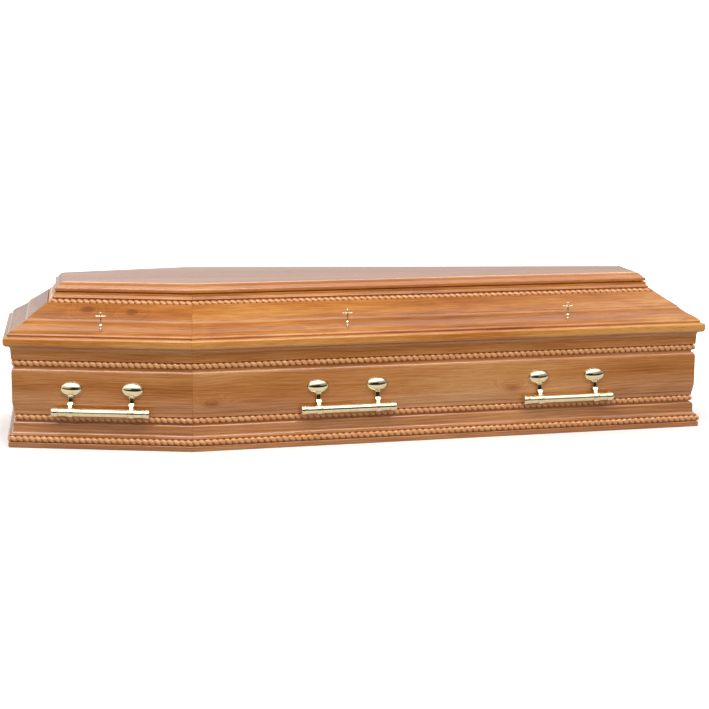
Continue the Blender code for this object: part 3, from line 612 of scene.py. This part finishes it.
def lid_profile():
    """Rim, groove, ogee, step, slope, rope seat, fillet and recess."""
    low, high, up, inward = lid_seat()
    rim_top = LID_LOW + RIM_HEIGHT
    groove = GROOVE_REACH - GROOVE_DEPTH
    points = [(-LID_BEARING, LID_LOW)]
    points += arc((RIM_REACH - RIM_UNDER_RUN, LID_LOW + RIM_UNDER_RISE), (RIM_UNDER_RUN, RIM_UNDER_RISE),
                  270, 360, 8)
    points += arc((RIM_REACH - RIM_ROUND, rim_top - RIM_ROUND), (RIM_ROUND, RIM_ROUND), 0, 90, 8)
    points += [(groove, rim_top), (groove, rim_top + GROOVE_DEPTH)]
    points += [(GROOVE_REACH - OGEE_RUN * run, OGEE_FOOT + OGEE_RISE * rise) for run, rise in OGEE_CURVE]
    for i in range(SLOPE_STEPS + 1):
        share = i / SLOPE_STEPS
        sag = SLOPE_SAG * math.sin(math.pi * share)
        points.append((GROOVE_REACH - OGEE_RUN - SLOPE_RUN * share + inward.x * sag,
                       SLOPE_LOW + SLOPE_RISE * share + inward.y * sag))
    sink = inward * (LID_ROPE_SINK + JOINT_GAP)
    points += [low + sink, high + sink, high]
    shoulder, top = lid_shoulder()
    fillet = high.x - CAP_SLOPE_RUN
    fillet_low = high.y + CAP_SLOPE_RISE
    points += [(fillet + CAP_FILLET_EASE, fillet_low - CAP_FILLET_EASE), (fillet, fillet_low),
               (fillet, top - CAP_RECESS_RISE), (shoulder, top - CAP_RECESS_RISE), (shoulder, top)]
    return points + [(shoulder - BOARD_SEAT, top), (shoulder - BOARD_SEAT, top - LID_NECK)]


for side, side_name in enumerate(SIDES):
    board = mitred_mesh(side, lid_profile(), BOARD_SEEDS[side_name] + LID_GRAIN_SHIFT,
                        min(0, BOARD_TONES[side_name]))
    tones = board.attributes["board_tone_and_shade"].data
    for vert in board.vertices:
        if vert.co.z < RIM_TONE_TOP:
            tones[vert.index].value += RIM_TONE
    shade_smooth(board)
    place_piece(f"{side_name}_lid_board", board, lid_oak, "coffin", "varnished_oak",
                f"lid_moulding_{side_name}")

# Top board. One six-sided oak board closes the lid, with its grain along the coffin. It overhangs the recess
# with a half-round bead, and a soft slope leads from the bead up to the flat top.
TOP_OVERHANG = 0.0070
BEAD_HEIGHT = 0.009
BEAD_SWELL = 0.0015
BEAD_FOOT = 0.0010
BEAD_CREASE = 0.0030
CREASE_DIP = 0.0002
TOP_STEP = 0.0035
TOP_FLAT = 0.040
TOP_GRAIN_SHIFT = 70
TOP_SLOPE_RUN = 0.0195
TOP_SLOPE_RISE = 0.0150
TOP_SLOPE_CURVE = ((0, 0), (0.06, 0.13), (0.15, 0.28), (0.30, 0.48), (0.47, 0.66), (0.66, 0.83),
                   (0.82, 0.935), (0.93, 0.985), (1, 1))
shoulder_reach, shoulder_top = lid_shoulder()
bead_reach = shoulder_reach + TOP_OVERHANG
board_low = shoulder_top + JOINT_GAP
slope_low = board_low + BEAD_HEIGHT
board_rings = [(bead_reach - BEAD_FOOT, board_low)]
board_rings += arc((bead_reach, board_low + BEAD_HEIGHT / 2), (BEAD_SWELL, BEAD_HEIGHT / 2), -75, 80, 9)
board_rings += [(bead_reach - BEAD_CREASE, slope_low - CREASE_DIP)]
board_rings += [(bead_reach - TOP_STEP - TOP_SLOPE_RUN * run, slope_low + TOP_SLOPE_RISE * rise)
                for run, rise in TOP_SLOPE_CURVE]
board_rings += [(bead_reach - TOP_FLAT, slope_low + TOP_SLOPE_RISE)]
bm = bmesh.new()
grain_layer = bm.verts.layers.float_vector.new("board_grain")
tone_layer = bm.verts.layers.float.new("board_tone_and_shade")
loops = []
for offset, height in board_rings:
    loop = [bm.verts.new((*corner_at(corner, offset), height)) for corner in range(6)]
    for vert in loop:
        vert[grain_layer] = (vert.co.x + TOP_GRAIN_SHIFT, vert.co.z, vert.co.y)
        vert[tone_layer] = 0.0
    loops.append(loop)
skin(bm, loops)
cap(bm, loops)
bmesh.ops.recalc_face_normals(bm, faces=bm.faces)
top_board = finished(bm, "top_board")
shade_smooth(top_board)
sharp = (top_board.attributes.get("sharp_edge")
         or top_board.attributes.new("sharp_edge", "BOOLEAN", "EDGE"))
# The six mitre lines join the same corner of two loops
for edge in top_board.edges:
    first, second = edge.vertices
    if first % 6 == second % 6:
        sharp.data[edge.index].value = True
top_oak = varnished_oak("gloss_varnished_top_oak", "D2904C", "C07636", "A8622A", ())
place_piece("lid_board", top_board, top_oak, "coffin", "varnished_oak", "lid_top_board")

# Rope mouldings. Four rings of half-round moulding carved with slanting strands, stained and varnished with
# the boards. Each ring is six strips, sawn to a mitre at the corners and glued into its seat.
STRAND_PITCH = 0.0176
STRAND_LEAN = 0.0036
STRAND_GROOVE = 0.36
STRAND_TAPER = 0.5
STRAND_TOP_LIGHT = 0.5
ROPE_FOOT = 0.0015
BACKING_DEPTH = 0.0021
MIDDLE_ROPE_LOW = 0.0728
UPPER_ROPE_LOW = 0.2234


def strand_mesh():
    """One strand: a rounded lobe that climbs over the half-round from its upper left to its lower right."""
    bm = bmesh.new()
    crown_and_light = bm.verts.layers.float.new("strand_crown_and_light")
    over, across = 8, 6
    rows = []
    for i in range(over + 1):
        lift = math.pi * (i / over - 0.5)
        row = []
        for j in range(across + 1):
            share = 2 * j / across - 1
            crest = math.cos(math.pi / 2 * share)
            radius = 1 - STRAND_GROOVE * (1 - crest) * (1 + STRAND_TAPER * math.sin(lift) ** 2)
            spot = (STRAND_PITCH / 2 * share - STRAND_LEAN * math.sin(lift),
                    -ROPE_FOOT - (ROPE_DEPTH - ROPE_FOOT) * radius * math.cos(lift),
                    ROPE_WIDTH / 2 * radius * math.sin(lift))
            vert = bm.verts.new(spot)
            # Painted light: the upper half of each strand counts as crown, so the grooves' dark stain and
            # painted shade show only on the lower half
            vert[crown_and_light] = crest + STRAND_TOP_LIGHT * max(0, math.sin(lift))
            row.append(vert)
        rows.append(row)
    for low_row, high_row in zip(rows, rows[1:]):
        for j in range(across):
            bm.faces.new((low_row[j], low_row[j + 1], high_row[j + 1], high_row[j]))
    back = bm.verts.new((0, -ROPE_FOOT / 2, 0))
    rim = rows[0][:-1] + [row[-1] for row in rows[:-1]]
    rim += rows[-1][:0:-1] + [row[0] for row in rows[:0:-1]]
    for i, vert in enumerate(rim):
        bm.faces.new((vert, rim[i - 1], back))
    bmesh.ops.recalc_face_normals(bm, faces=bm.faces)
    return finished(bm, "strand")


# The tree sets the strands in a row, with a little variation in size as a hand-guided cutter leaves
strand_row = bpy.data.node_groups.new("strand_row", "GeometryNodeTree")
strand_row.interface.new_socket("Strand", in_out="INPUT", socket_type="NodeSocketGeometry")
count_socket = strand_row.interface.new_socket("Count", in_out="INPUT", socket_type="NodeSocketInt")
spacing_socket = strand_row.interface.new_socket("Spacing", in_out="INPUT", socket_type="NodeSocketFloat")
varnish_socket = strand_row.interface.new_socket("Varnish", in_out="INPUT", socket_type="NodeSocketMaterial")
strand_row.interface.new_socket("Rope", in_out="OUTPUT", socket_type="NodeSocketGeometry")
given = add_node(strand_row, "NodeGroupInput")
step = add_node(strand_row, "ShaderNodeCombineXYZ", {"X": given.outputs["Spacing"]})
row_start = add_node(strand_row, "ShaderNodeMath", {0: given.outputs["Spacing"], 1: -0.5},
                     operation="MULTIPLY")
row_start = add_node(strand_row, "ShaderNodeCombineXYZ", {"X": row_start.outputs[0]})
row = add_node(strand_row, "GeometryNodeMeshLine",
               {"Count": given.outputs["Count"], "Start Location": row_start.outputs[0],
                "Offset": step.outputs[0]})
size = add_node(strand_row, "FunctionNodeRandomValue",
                {"Min": (1.0, 0.985, 0.985), "Max": (1.0, 1.0, 1.0), "Seed": 7}, data_type="FLOAT_VECTOR")
laid = add_node(strand_row, "GeometryNodeInstanceOnPoints",
                {"Points": row.outputs[0], "Instance": given.outputs["Strand"], "Scale": size.outputs[0]})
solid = add_node(strand_row, "GeometryNodeRealizeInstances", {0: laid.outputs[0]})
dressed = add_node(strand_row, "GeometryNodeSetMaterial",
                   {"Geometry": solid.outputs[0], "Material": given.outputs["Varnish"]})
add_node(strand_row, "NodeGroupOutput", {0: dressed.outputs[0]})

# Carved oak under the same varnish: pale crowns, dark stain with painted shade in the grooves, left off their
# upper halves as painted light from above, and a softer gloss.
# Its grain shows as fine streaks 30 mm long and 5 mm high.
rope_oak, tree, shader = new_material("gloss_varnished_rope_oak")
place = add_node(tree, "ShaderNodeTexCoord").outputs["Object"]
grain_place = add_node(tree, "ShaderNodeMapping", {0: place, 3: (30, 30, 200)})
streaks = add_node(tree, "ShaderNodeTexNoise", {"Vector": grain_place.outputs[0], "Scale": 1.0,
                                                "Detail": 3.0})
wood = add_node(tree, "ShaderNodeValToRGB", {0: streaks.outputs[0]})
set_ramp(wood, [(0.30, "D28E50"), (0.55, "E09E60"), (0.75, "E8B078")])
crown_and_light = add_node(tree, "ShaderNodeAttribute", attribute_name="strand_crown_and_light").outputs["Fac"]
depth = add_node(tree, "ShaderNodeMapRange", {"Value": crown_and_light, "From Min": 0.05, "From Max": 0.5})
stain_and_shade = add_node(tree, "ShaderNodeMix", {0: depth.outputs[0], 6: linear("9A5218"), 7: wood.outputs[0]},
                 data_type="RGBA")
tree.links.new(stain_and_shade.outputs[2], shader.inputs["Base Color"])
for socket, value in VARNISH.items():
    shader.inputs[socket].default_value = value
shader.inputs["Coat Roughness"].default_value = 0.10


def rope_strip(side, foot, up, face):
    """One side's strip: strands laid by the tree, set in place and sawn off at both mitres, on a backing.

    foot is the low back corner of the strip, up runs across it and face out of it, as (offset, height).
    """
    along, out = side_frame(side)[1:3]
    middle = foot + up * (ROPE_WIDTH / 2)
    first = corner_at(side, middle.x)
    last = corner_at((side + 1) % 6, middle.x)
    count = round((last - first).length / STRAND_PITCH)
    holder = add_object("strand", strand_mesh())
    lay = holder.modifiers.new("lay", "NODES")
    lay.node_group = strand_row
    lay[count_socket.identifier] = count + 2
    lay[spacing_socket.identifier] = (last - first).length / count
    lay[varnish_socket.identifier] = rope_oak
    mesh = bpy.data.meshes.new_from_object(holder.evaluated_get(bpy.context.evaluated_depsgraph_get()))
    holder.modifiers.remove(lay)
    bpy.data.objects.remove(holder)
    axis_x = along.to_3d()
    axis_y = -(out * face.x).to_3d() - Vector((0, 0, face.y))
    axis_z = (out * up.x).to_3d() + Vector((0, 0, up.y))
    turn = Matrix((axis_x, axis_y, axis_z)).transposed().to_4x4()
    mesh.transform(Matrix.Translation((first.x, first.y, middle.y)) @ turn)
    for polygon in mesh.polygons:
        polygon.use_smooth = True
    bm = bmesh.new()
    bm.from_mesh(mesh)
    for corner, sign in ((side, 1), ((side + 1) % 6, -1)):
        spot = corner_at(corner, 0)
        cut = (corner_at(corner, 1) - spot).to_3d()
        across = Vector((cut.y, -cut.x, 0)).normalized()
        across *= -sign if across.dot(axis_x) > 0 else sign
        bmesh.ops.bisect_plane(bm, geom=bm.verts[:] + bm.edges[:] + bm.faces[:], dist=1e-7,
                               plane_co=spot.to_3d() - across * JOINT_GAP / 2, plane_no=across,
                               clear_outer=True)
        bmesh.ops.holes_fill(bm, edges=[edge for edge in bm.edges if edge.is_boundary], sides=0)
    bm.to_mesh(mesh)
    bm.free()
    head = foot + up * ROPE_WIDTH
    backing = [foot, foot + face * BACKING_DEPTH, head + face * BACKING_DEPTH, head]
    return [mesh, mitred_mesh(side, backing, 0, 0)]


def rope_ring(name, foot, up, face, node):
    """The six strips of a ring, joined as one piece."""
    bm = bmesh.new()
    for side in range(6):
        for mesh in rope_strip(side, foot, up, face):
            bm.from_mesh(mesh)
            bpy.data.meshes.remove(mesh)
    ring = finished(bm, name)
    ring.set_sharp_from_angle(angle=math.radians(60))
    place_piece(name, ring, rope_oak, "coffin", "carved_oak", node)


level, flat = Vector((0, 1)), Vector((1, 0))
for place, reach, low in (("base", BASE_ROPE_REACH, BASE_ROPE_LOW),
                          ("middle", -MIDDLE_ROPE_SETBACK, MIDDLE_ROPE_LOW), ("upper", 0, UPPER_ROPE_LOW)):
    rope_ring(f"{place}_rope", Vector((reach - ROPE_DEPTH, low)), level, flat, f"rope_moulding_{place}")
seat_low, _, seat_up, seat_in = lid_seat()
rope_ring("lid_rope", seat_low + seat_up * JOINT_GAP + seat_in * LID_ROPE_SINK, seat_up, -seat_in,
          "rope_moulding_lid")

# Handles. Two oval rosettes are fixed to the wall. A cast arm hangs from the pin in the foot of each, and
# a round bar with thicker end caps passes through the arms' collars. All of it is polished brass.
ROSETTE_HEIGHT_UP = 0.1643
ROSETTE_SPACING = 0.168
ROSETTE_WIDTH = 0.062
ROSETTE_HEIGHT = 0.043
ROSETTE_DEPTH = 0.015
ROSETTE_RIM = 0.0016
PIN_BELOW_ROSETTE = 0.0175
PIN_STAND_OFF = 0.0060
PIN_RADIUS = 0.0018
PIN_CLEARANCE = 0.0003
PIN_OVERLAP = 0.002
DOME_EDGE = 0.965
DOME_STEPS = 20
DOME_FULLNESS = 1.15
DOME_CROWN = 0.003
SWING_CLEARANCE = 0.0004
SLOT_CUT_DEPTH = 0.02
SLOT_CUT_HEIGHT = 0.03
EYE_WIDTH = 0.0135
EYE_RADIUS = 0.0040
EYE_EASE = 0.0008
ARM_DROP = 0.0440
ARM_CRANK = 0.0112
ARM_CRANK_LOW = 0.0150
ARM_CRANK_RUN = 0.0150
# Stations down the shank, ferrule and neck as distance below the pin, width, depth and squareness
ARM_STATIONS = ((0.0026, 0.0132, 0.0064, 0.25), (0.0090, 0.0128, 0.0066, 0.25),
                (0.0168, 0.0128, 0.0070, 0.25), (0.0171, 0.0148, 0.0116, 0.2),
                (0.0176, 0.0152, 0.0120, 0.2), (0.0225, 0.0152, 0.0120, 0.2),
                (0.0230, 0.0146, 0.0114, 0.25), (0.0234, 0.0124, 0.0100, 0.5),
                (0.0250, 0.0118, 0.0096, 0.8), (0.0272, 0.0120, 0.0100, 1.0),
                (0.0290, 0.0132, 0.0112, 1.0), (0.0304, 0.0156, 0.0136, 1.0))
COLLAR_WALL = 0.0026
BAR_RADIUS = 0.0120
BAR_LENGTH = 0.270
CAP_RADIUS = 0.0137
CAP_LENGTH = 0.020
SIDE_HANDLE_FROM_SHOULDER = 0.431
SIDE_HANDLE_FROM_FOOT = 0.398

# Brass, polished and lacquered: pale gold and almost a mirror, with faint smears about 17 mm across that
# blur its reflections a little
brass, tree, shader = new_material("polished_lacquered_brass")
place = add_node(tree, "ShaderNodeTexCoord").outputs["Object"]
smear = add_node(tree, "ShaderNodeTexNoise", {"Vector": place, "Scale": 60.0, "Detail": 3.0})
metal = add_node(tree, "ShaderNodeValToRGB", {0: smear.outputs[0]})
set_ramp(metal, [(0.35, "DCCBA2"), (0.65, "E6D8B4")])
tree.links.new(metal.outputs[0], shader.inputs["Base Color"])
rub = add_node(tree, "ShaderNodeMapRange", {"Value": smear.outputs[0], "To Min": 0.07, "To Max": 0.14})
tree.links.new(rub.outputs[0], shader.inputs["Roughness"])
shader.inputs["Metallic"].default_value = 1.0


def turned(points, sides, axis, ring=False):
    """A solid turned from (radius, distance) points about an axis: a ring where the outline is closed."""
    bm = bmesh.new()
    loops = []
    for radius, distance in points:
        angles = [2 * math.pi * i / sides for i in range(sides)]
        loops.append([bm.verts.new((radius * math.cos(a), radius * math.sin(a), distance)) for a in angles])
    if ring:
        skin(bm, loops + loops[:1])
    else:
        skin(bm, loops)
        cap(bm, loops)
    bmesh.ops.remove_doubles(bm, verts=bm.verts, dist=1e-7)
    turns = {"X": Matrix.Rotation(math.pi / 2, 3, "Y"), "-Y": Matrix.Rotation(math.pi / 2, 3, "X"),
             "Z": Matrix.Identity(3)}
    bmesh.ops.rotate(bm, verts=bm.verts, matrix=turns[axis])
    bmesh.ops.recalc_face_normals(bm, faces=bm.faces)
    return finished(bm, "turned")


def joined(*parts):
    """Meshes gathered into one."""
    bm = bmesh.new()
    for mesh in parts:
        bm.from_mesh(mesh)
        bpy.data.meshes.remove(mesh)
    return finished(bm, "joined")


def rosette_mesh():
    """Oval dome with a fine rim, slotted at its foot, with the pin across the slot. The wall is at y = 0."""
    outline = [(1, 0), (1, ROSETTE_RIM * 0.7), (0.99, ROSETTE_RIM), (DOME_EDGE, ROSETTE_RIM)]
    for i in range(1, DOME_STEPS):
        turn = math.pi / 2 * i / DOME_STEPS
        outline.append((DOME_EDGE * math.cos(turn),
                        ROSETTE_RIM + (ROSETTE_DEPTH - ROSETTE_RIM) * math.sin(turn) ** DOME_FULLNESS))
    dome = turned(outline + [(DOME_CROWN, ROSETTE_DEPTH)], 64, "-Y")
    dome.transform(Matrix.Diagonal((ROSETTE_WIDTH / 2, 1, ROSETTE_HEIGHT / 2, 1)))
    half = EYE_WIDTH / 2 + SWING_CLEARANCE
    slot_top = -PIN_BELOW_ROSETTE + EYE_RADIUS + SWING_CLEARANCE
    slot_back = -PIN_STAND_OFF + EYE_RADIUS + SWING_CLEARANCE
    bm = bmesh.new()
    bmesh.ops.create_cube(bm, size=1)
    bmesh.ops.scale(bm, vec=(2 * half, SLOT_CUT_DEPTH, SLOT_CUT_HEIGHT), verts=bm.verts)
    bmesh.ops.translate(bm, vec=(0, slot_back - SLOT_CUT_DEPTH / 2, slot_top - SLOT_CUT_HEIGHT / 2),
                        verts=bm.verts)
    base = add_object("base", dome)
    tool = add_object("tool", finished(bm, "slot"))
    cut = base.modifiers.new("cut", "BOOLEAN")
    cut.operation = "DIFFERENCE"
    cut.solver = "EXACT"
    cut.object = tool
    cast = bpy.data.meshes.new_from_object(base.evaluated_get(bpy.context.evaluated_depsgraph_get()))
    base.modifiers.remove(cut)
    bpy.data.objects.remove(base)
    bpy.data.objects.remove(tool)
    pin_end = half + PIN_OVERLAP
    pin = turned([(PIN_RADIUS, -pin_end), (PIN_RADIUS, pin_end)], 16, "X")
    pin.transform(Matrix.Translation((0, -PIN_STAND_OFF, -PIN_BELOW_ROSETTE)))
    return joined(cast, pin)


def lofted(sections, sides=28):
    """A closed solid through rounded sections, each (height, depth centre, width, depth, squareness)."""
    bm = bmesh.new()
    loops = []
    for height, centre, width, depth, square in sections:
        loop = []
        for i in range(sides):
            a = 2 * math.pi * i / sides
            x = math.copysign(abs(math.cos(a)) ** square, math.cos(a)) * width / 2
            y = math.copysign(abs(math.sin(a)) ** square, math.sin(a)) * depth / 2
            loop.append(bm.verts.new((x, centre + y, height)))
        loops.append(loop)
    skin(bm, loops)
    cap(bm, loops)
    bmesh.ops.recalc_face_normals(bm, faces=bm.faces)
    return finished(bm, "lofted")


def crank(drop):
    """How far out from the pin the arm stands, at a distance below it."""
    share = min(1, max(0, (drop - ARM_CRANK_LOW) / ARM_CRANK_RUN))
    return ARM_CRANK * share * share * (3 - 2 * share)


def arm_mesh():
    """Eye, flat shank, ferrule, turned neck and collar, in one casting. The pin is at the origin."""
    half = EYE_WIDTH / 2
    bore = PIN_RADIUS + PIN_CLEARANCE
    eased_radius = EYE_RADIUS - EYE_EASE
    eye = turned([(bore, -half), (eased_radius, -half), (EYE_RADIUS, -half + EYE_EASE),
                  (EYE_RADIUS, half - EYE_EASE), (eased_radius, half), (bore, half)], 32, "X", ring=True)
    shank = lofted([(-drop, -crank(drop), width, depth, square)
                    for drop, width, depth, square in ARM_STATIONS])
    reach = BAR_RADIUS + COLLAR_WALL
    # Half of the collar's outline: its face, a raised ring, a fine groove and the swell to the middle
    half_collar = [(BAR_RADIUS + PIN_CLEARANCE, 0.0095), (reach - 0.0010, 0.0095), (reach - 0.0002, 0.0088),
                   (reach - 0.0002, 0.0072), (reach - 0.0009, 0.0066), (reach - 0.0003, 0.0056),
                   (reach, 0.0030)]
    outline = half_collar + [(radius, -distance) for radius, distance in reversed(half_collar)]
    collar = turned(outline, 40, "X", ring=True)
    collar.transform(Matrix.Translation((0, -ARM_CRANK, -ARM_DROP)))
    return joined(eye, shank, collar)


def bar_mesh():
    """Round bar with a beaded cap at each end, along X."""
    half = BAR_LENGTH / 2
    inner = half - CAP_LENGTH
    # From the middle of the end face, over its rounded edge and past a fine groove, to the bar
    end = [(0.0005, half), (CAP_RADIUS - 0.0030, half), (CAP_RADIUS - 0.0012, half - 0.0004),
           (CAP_RADIUS - 0.0002, half - 0.0016), (CAP_RADIUS, half - 0.0035), (CAP_RADIUS, inner + 0.0050),
           (CAP_RADIUS - 0.0008, inner + 0.0040), (CAP_RADIUS - 0.0008, inner + 0.0034),
           (CAP_RADIUS, inner + 0.0026), (CAP_RADIUS, inner + 0.0010), (CAP_RADIUS - 0.0008, inner + 0.0002),
           (BAR_RADIUS, inner), (BAR_RADIUS, inner - 0.002)]
    return turned(end + [(radius, -distance) for radius, distance in reversed(end)], 40, "X")


def side_place(side, run, offset, height):
    """Where X runs along a side and -Y points out of it."""
    start, along, out, _ = side_frame(side)
    spot = start + along * run + out * offset
    return (Matrix.Translation((spot.x, spot.y, height))
            @ Matrix.Rotation(math.atan2(along.y, along.x), 4, "Z"))


def handle_places():
    """Name, side and distance along it of each handle."""
    places = []
    for hand, shoulder, long_side in (("right", 0, 1), ("left", 4, 3)):
        for place, side in (("head", shoulder), ("middle", long_side), ("foot", long_side)):
            full = side_frame(side)[3]
            run = {"head": full / 2, "middle": SIDE_HANDLE_FROM_SHOULDER,
                   "foot": full - SIDE_HANDLE_FROM_FOOT}[place]
            places.append((f"{hand}_{place}", side, full - run if hand == "left" else run))
    return places


rosette, arm, bar = rosette_mesh(), arm_mesh(), bar_mesh()
for pattern in (rosette, arm, bar):
    shade_smooth(pattern, 40)
for name, side, run in handle_places():
    hang = side_place(side, run, PIN_STAND_OFF + JOINT_GAP, ROSETTE_HEIGHT_UP - PIN_BELOW_ROSETTE)
    for end, sign in (("a", -1), ("b", 1)):
        shift = sign * ROSETTE_SPACING / 2
        cast = rosette.copy()
        cast.transform(side_place(side, run + shift, JOINT_GAP, ROSETTE_HEIGHT_UP))
        place_piece(f"{name}_back_plate_{end}", cast, brass, "coffin", "polished_brass",
                    f"{name}_rosette_{end}")
        cast = arm.copy()
        cast.transform(hang @ Matrix.Translation((shift, 0, 0)))
        place_piece(f"{name}_bracket_{end}", cast, brass, f"{name}_handle", "polished_brass",
                    f"{name}_arm_{end}")
    cast = bar.copy()
    cast.transform(hang @ Matrix.Translation((0, -ARM_CRANK, -ARM_DROP)))
    place_piece(f"{name}_grip_bar", cast, brass, f"{name}_handle", "polished_brass", f"{name}_bar")

# Lid screws. Over each handle a brass thumbscrew holds the lid down: a stem through the ogee, a ball, and
# a small cross with a bud at the end of each arm for the fingers.
SCREW_GRIP = 0.022
BALL_RISE = 0.0600
BALL_RADIUS = 0.0052
CROSS_RISE = 0.0375
ARM_RISE = 0.0260
ARM_SPAN = 0.029
BUD_RADIUS = 0.0026
STEM_RADIUS = 0.0026
SCREW_SETBACK = 0.004


def bud_bar(length, tail):
    """A slim bar along Z with a bud on its upper end, from tail up to length."""
    # The bud's half outline, 20 to 140 degrees round from its tip, then the neck and the swelling bar
    turns = [math.radians(angle) for angle in range(20, 141, 20)]
    bud = [(BUD_RADIUS * math.sin(a), length - BUD_RADIUS * (1 - math.cos(a))) for a in turns]
    neck = length - 2 * BUD_RADIUS
    rod = [(0.0013, neck), (0.0015, neck - 0.002), (0.0019, (neck + tail) / 2), (0.0022, tail)]
    return turned([(0.0004, length)] + bud + rod, 16, "Z")


def screw_mesh():
    """Stem, ball, baluster and budded cross. The foot of the stem is at the origin."""
    ball = SCREW_GRIP + BALL_RISE
    cross = ball + ARM_RISE
    stem = [(STEM_RADIUS, 0), (STEM_RADIUS, ball - 0.0085), (0.0034, ball - 0.0075), (0.0034, ball - 0.0065),
            (0.0024, ball - 0.0055)]
    stem += arc((0, ball), (BALL_RADIUS, BALL_RADIUS), -60, 60, 8)
    stem += [(0.0018, ball + 0.0056), (0.0022, ball + 0.0075), (0.0014, ball + 0.0095), (0.0017, cross)]
    parts = [turned(stem, 20, "Z"), bud_bar(ball + CROSS_RISE, cross)]
    for sign in (-1, 1):
        side_bar = bud_bar(ARM_SPAN / 2, 0)
        side_bar.transform(Matrix.Translation((0, 0, cross)) @ Matrix.Rotation(sign * math.pi / 2, 4, "Y"))
        parts.append(side_bar)
    boss = turned([(0.0004, -0.0022), (0.0022, -0.0014), (0.0028, 0), (0.0022, 0.0014), (0.0004, 0.0022)],
                  16, "-Y")
    boss.transform(Matrix.Translation((0, 0, cross)))
    return joined(*parts, boss)


screw = screw_mesh()
shade_smooth(screw, 50)
for name, side, run in handle_places():
    cast = screw.copy()
    cast.transform(side_place(side, run, -SCREW_SETBACK, BODY_HEIGHT - SCREW_GRIP))
    place_piece(f"{name}_thumbscrew", cast, brass, "coffin", "polished_brass", f"{name}_lid_screw")
